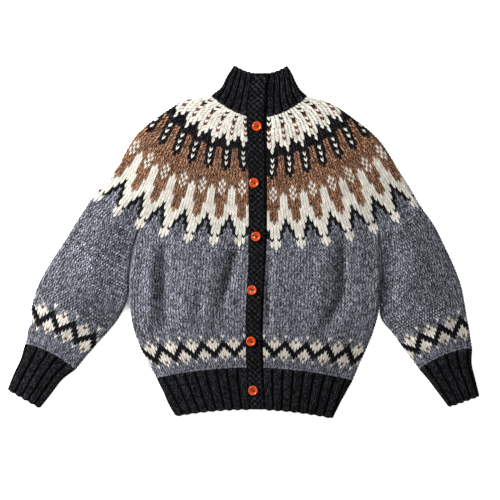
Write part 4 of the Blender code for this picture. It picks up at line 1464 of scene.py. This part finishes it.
class CardiganKnit(bpy.types.PropertyGroup):
    """Depth of the stitches, look of the yarn and the painted shade in its valleys."""

    stitch_depth: amount("Stitch depth", "Depth of the valleys between plain stitches",
                         0.0016, 0.003, subtype="DISTANCE", unit="LENGTH")
    rib_height: amount("Rib height", "Half the height of a rib over its valley",
                       0.0015, 0.003, subtype="DISTANCE", unit="LENGTH")
    scallop: amount("Scallop", "How far each rib's end stands out past the middle of the edge",
                    0.0014, 0.004, subtype="DISTANCE", unit="LENGTH")
    flecks: amount("Flecks", "How strongly heather yarn varies", 3.2, 8.0)
    # Strength of the painted shade in the valleys between stitches
    valley_shade: amount("Valley shade", "How dark the valleys are", 0.92, 1.0, subtype="FACTOR")
    fuzz: amount("Fuzz", "Strength of the fine bump", 0.35, 1.0, subtype="FACTOR")


class CardiganStudio(bpy.types.PropertyGroup):
    """Floor, light and camera."""

    floor: tint("Floor", "Colour of the floor", (0.98, 0.98, 0.98))
    # Strength of the floor's glow, a painted light that lightens the shadows on it
    glow: amount("Glow", "Light that comes through the floor", 0.75, 2.0)
    key_power: amount("Key light", "Power of the soft key light", 108.0, 500.0, subtype="POWER")
    top_power: amount("Top light", "Power of the small light that glints", 5.0, 100.0,
                      subtype="POWER")
    sky: amount("Sky", "Strength of the light from all round", 0.38, 4.0)
    aim: FloatVectorProperty(name="Aim", description="Point that the camera looks down on",
                             subtype="TRANSLATION", unit="LENGTH", size=3,
                             default=(0.012, -0.0154, 0.015))
    distance: amount("Camera height", "Height over that point", 2.57, 10.0, 0.5,
                     subtype="DISTANCE", unit="LENGTH")


class CARDIGAN_OT_body(bpy.types.Operator):
    """Knit the body and its ribbed hem"""

    bl_idname = "cardigan.body"
    bl_label = "Body and hem"

    def execute(self, context):
        add_panel(context.scene, "body")
        add_panel(context.scene, "hem_rib")
        return {"FINISHED"}


class CARDIGAN_OT_yoke(bpy.types.Operator):
    """Knit the patterned yoke and the collar"""

    bl_idname = "cardigan.yoke"
    bl_label = "Yoke and collar"

    def execute(self, context):
        add_panel(context.scene, "yoke")
        add_panel(context.scene, "collar")
        return {"FINISHED"}


class CARDIGAN_OT_sleeves(bpy.types.Operator):
    """Knit both sleeves and their ribbed cuffs"""

    bl_idname = "cardigan.sleeves"
    bl_label = "Sleeves and cuffs"

    def execute(self, context):
        for name in ("sleeve_left", "sleeve_right", "cuff_left", "cuff_right"):
            add_panel(context.scene, name)
        return {"FINISHED"}


class CARDIGAN_OT_bands(bpy.types.Operator):
    """Knit the two front bands, one over the other"""

    bl_idname = "cardigan.bands"
    bl_label = "Front bands"

    def execute(self, context):
        scene = context.scene
        for side, name, below in (("under", "button_band", "studio_floor"),
                                  ("over", "buttonhole_band", "button_band_knit")):
            mesh, cut = knit_band(scene, side, name + "_knit")
            thing = add_piece(scene, mesh, name + "_knit", wool_material, "black_wool", [name])
        return {"FINISHED"}


class CARDIGAN_OT_buttons(bpy.types.Operator):
    """Lay the six buttons on their CAD places and sew them on"""

    bl_idname = "cardigan.buttons"
    bl_label = "Buttons and thread"

    def execute(self, context):
        scene = context.scene
        points, quads = button_shell()
        # Painted shade and highlight on each button, by its radius
        table = np.array(BUTTON_PAINTED_SHADE)
        tones = np.interp(np.hypot(points[:, 0], points[:, 1]), table[:, 0], table[:, 1])
        strands, strand_faces = thread_tube()
        threads = []
        for number in range(1, BUTTON_COUNT + 1):
            middle, up = button_frame(number)
            axes = around_axis(up)
            placed = points * MM @ axes + middle
            mesh = plain_mesh(f"button_{number}_turned", placed, quads)
            fill_layer(mesh, "tone", "FLOAT", "POINT", "value", tones)
            mesh.set_sharp_from_angle(angle=np.radians(SHARP_ANGLE))
            add_piece(scene, mesh, f"button_{number}_turned", button_material, "button",
                      [f"button_{number}"])
            threads.append(strands * MM @ axes + middle)
        count = len(strands)
        faces = np.concatenate([strand_faces + count * k for k in range(BUTTON_COUNT)])
        mesh = plain_mesh("button_threads", np.concatenate(threads), faces)
        mesh.materials.append(thread_material("button_thread"))
        thing = bpy.data.objects.new("button_threads", mesh)
        scene.collection.objects.link(thing)
        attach(thing, "root")
        return {"FINISHED"}


class CARDIGAN_OT_stage(bpy.types.Operator):
    """Put up the floor, the soft light and the camera"""

    bl_idname = "cardigan.stage"
    bl_label = "Floor, light and camera"

    def execute(self, context):
        scene = context.scene
        studio = scene.cardigan_studio
        half = FLOOR_HALF
        corners = [(x, y, -FLOOR_DROP) for x, y in ((-half, -half), (half, -half), (half, half),
                                                    (-half, half))]
        mesh = bpy.data.meshes.new("studio_floor")
        mesh.from_pydata(corners, [], [(0, 1, 2, 3)])
        mesh.materials.append(floor_material(scene, "studio_floor"))
        floor = bpy.data.objects.new("studio_floor", mesh)
        scene.collection.objects.link(floor)
        world = bpy.data.worlds.new("studio_sky")
        world.use_nodes = True
        sky = world.node_tree.nodes["Background"]
        sky.inputs["Color"].default_value = (1.0, 1.0, 1.0, 1.0)
        sky.inputs["Strength"].default_value = studio.sky
        scene.world = world
        aim = Vector(studio.aim)
        key = add_light(scene, "key_light", KEY_PLACE, KEY_SIZE, studio.key_power, aim)
        top = add_light(scene, "top_light", TOP_PLACE, TOP_SIZE, studio.top_power, aim)
        lens = bpy.data.cameras.new("camera")
        lens.lens = LENS
        lens.sensor_width = SENSOR
        camera = bpy.data.objects.new("camera", lens)
        camera.location = aim + Vector((0.0, 0.0, studio.distance))
        scene.collection.objects.link(camera)
        scene.camera = camera
        scene.view_settings.view_transform = "Standard"
        scene.view_settings.look = "None"
        return {"FINISHED"}


class CARDIGAN_PT_panel(bpy.types.Panel):
    """Colours, sizes and steps of the cardigan"""

    bl_idname = "CARDIGAN_PT_panel"
    bl_label = "Cardigan"
    bl_space_type = "VIEW_3D"
    bl_region_type = "UI"
    bl_category = "Cardigan"

    def draw(self, context):
        layout = self.layout
        for group in ("cardigan_yarns", "cardigan_knit", "cardigan_studio"):
            holder = getattr(context.scene, group)
            box = layout.box()
            for name in holder.__annotations__:
                box.prop(holder, name)
        for step in STEPS:
            layout.operator(step.bl_idname)


GROUPS = (CardiganYarns, CardiganKnit, CardiganStudio)
STEPS = (CARDIGAN_OT_body, CARDIGAN_OT_yoke, CARDIGAN_OT_sleeves, CARDIGAN_OT_bands,
         CARDIGAN_OT_buttons, CARDIGAN_OT_stage)


def register():
    """Make the settings, steps and panel known to Blender."""
    for group in (*GROUPS, *STEPS, CARDIGAN_PT_panel):
        bpy.utils.register_class(group)
    bpy.types.Scene.cardigan_yarns = PointerProperty(type=CardiganYarns)
    bpy.types.Scene.cardigan_knit = PointerProperty(type=CardiganKnit)
    bpy.types.Scene.cardigan_studio = PointerProperty(type=CardiganStudio)


def unregister():
    """Take them out again, in the opposite order."""
    del bpy.types.Scene.cardigan_studio
    del bpy.types.Scene.cardigan_knit
    del bpy.types.Scene.cardigan_yarns
    for group in (CARDIGAN_PT_panel, *STEPS[::-1], *GROUPS[::-1]):
        bpy.utils.unregister_class(group)


def main():
    """Run every step in order."""
    register()
    bpy.ops.cardigan.body()
    bpy.ops.cardigan.yoke()
    bpy.ops.cardigan.sleeves()
    bpy.ops.cardigan.bands()
    bpy.ops.cardigan.buttons()
    bpy.ops.cardigan.stage()
    bpy.context.view_layer.update()


if __name__ == "__main__":
    main()
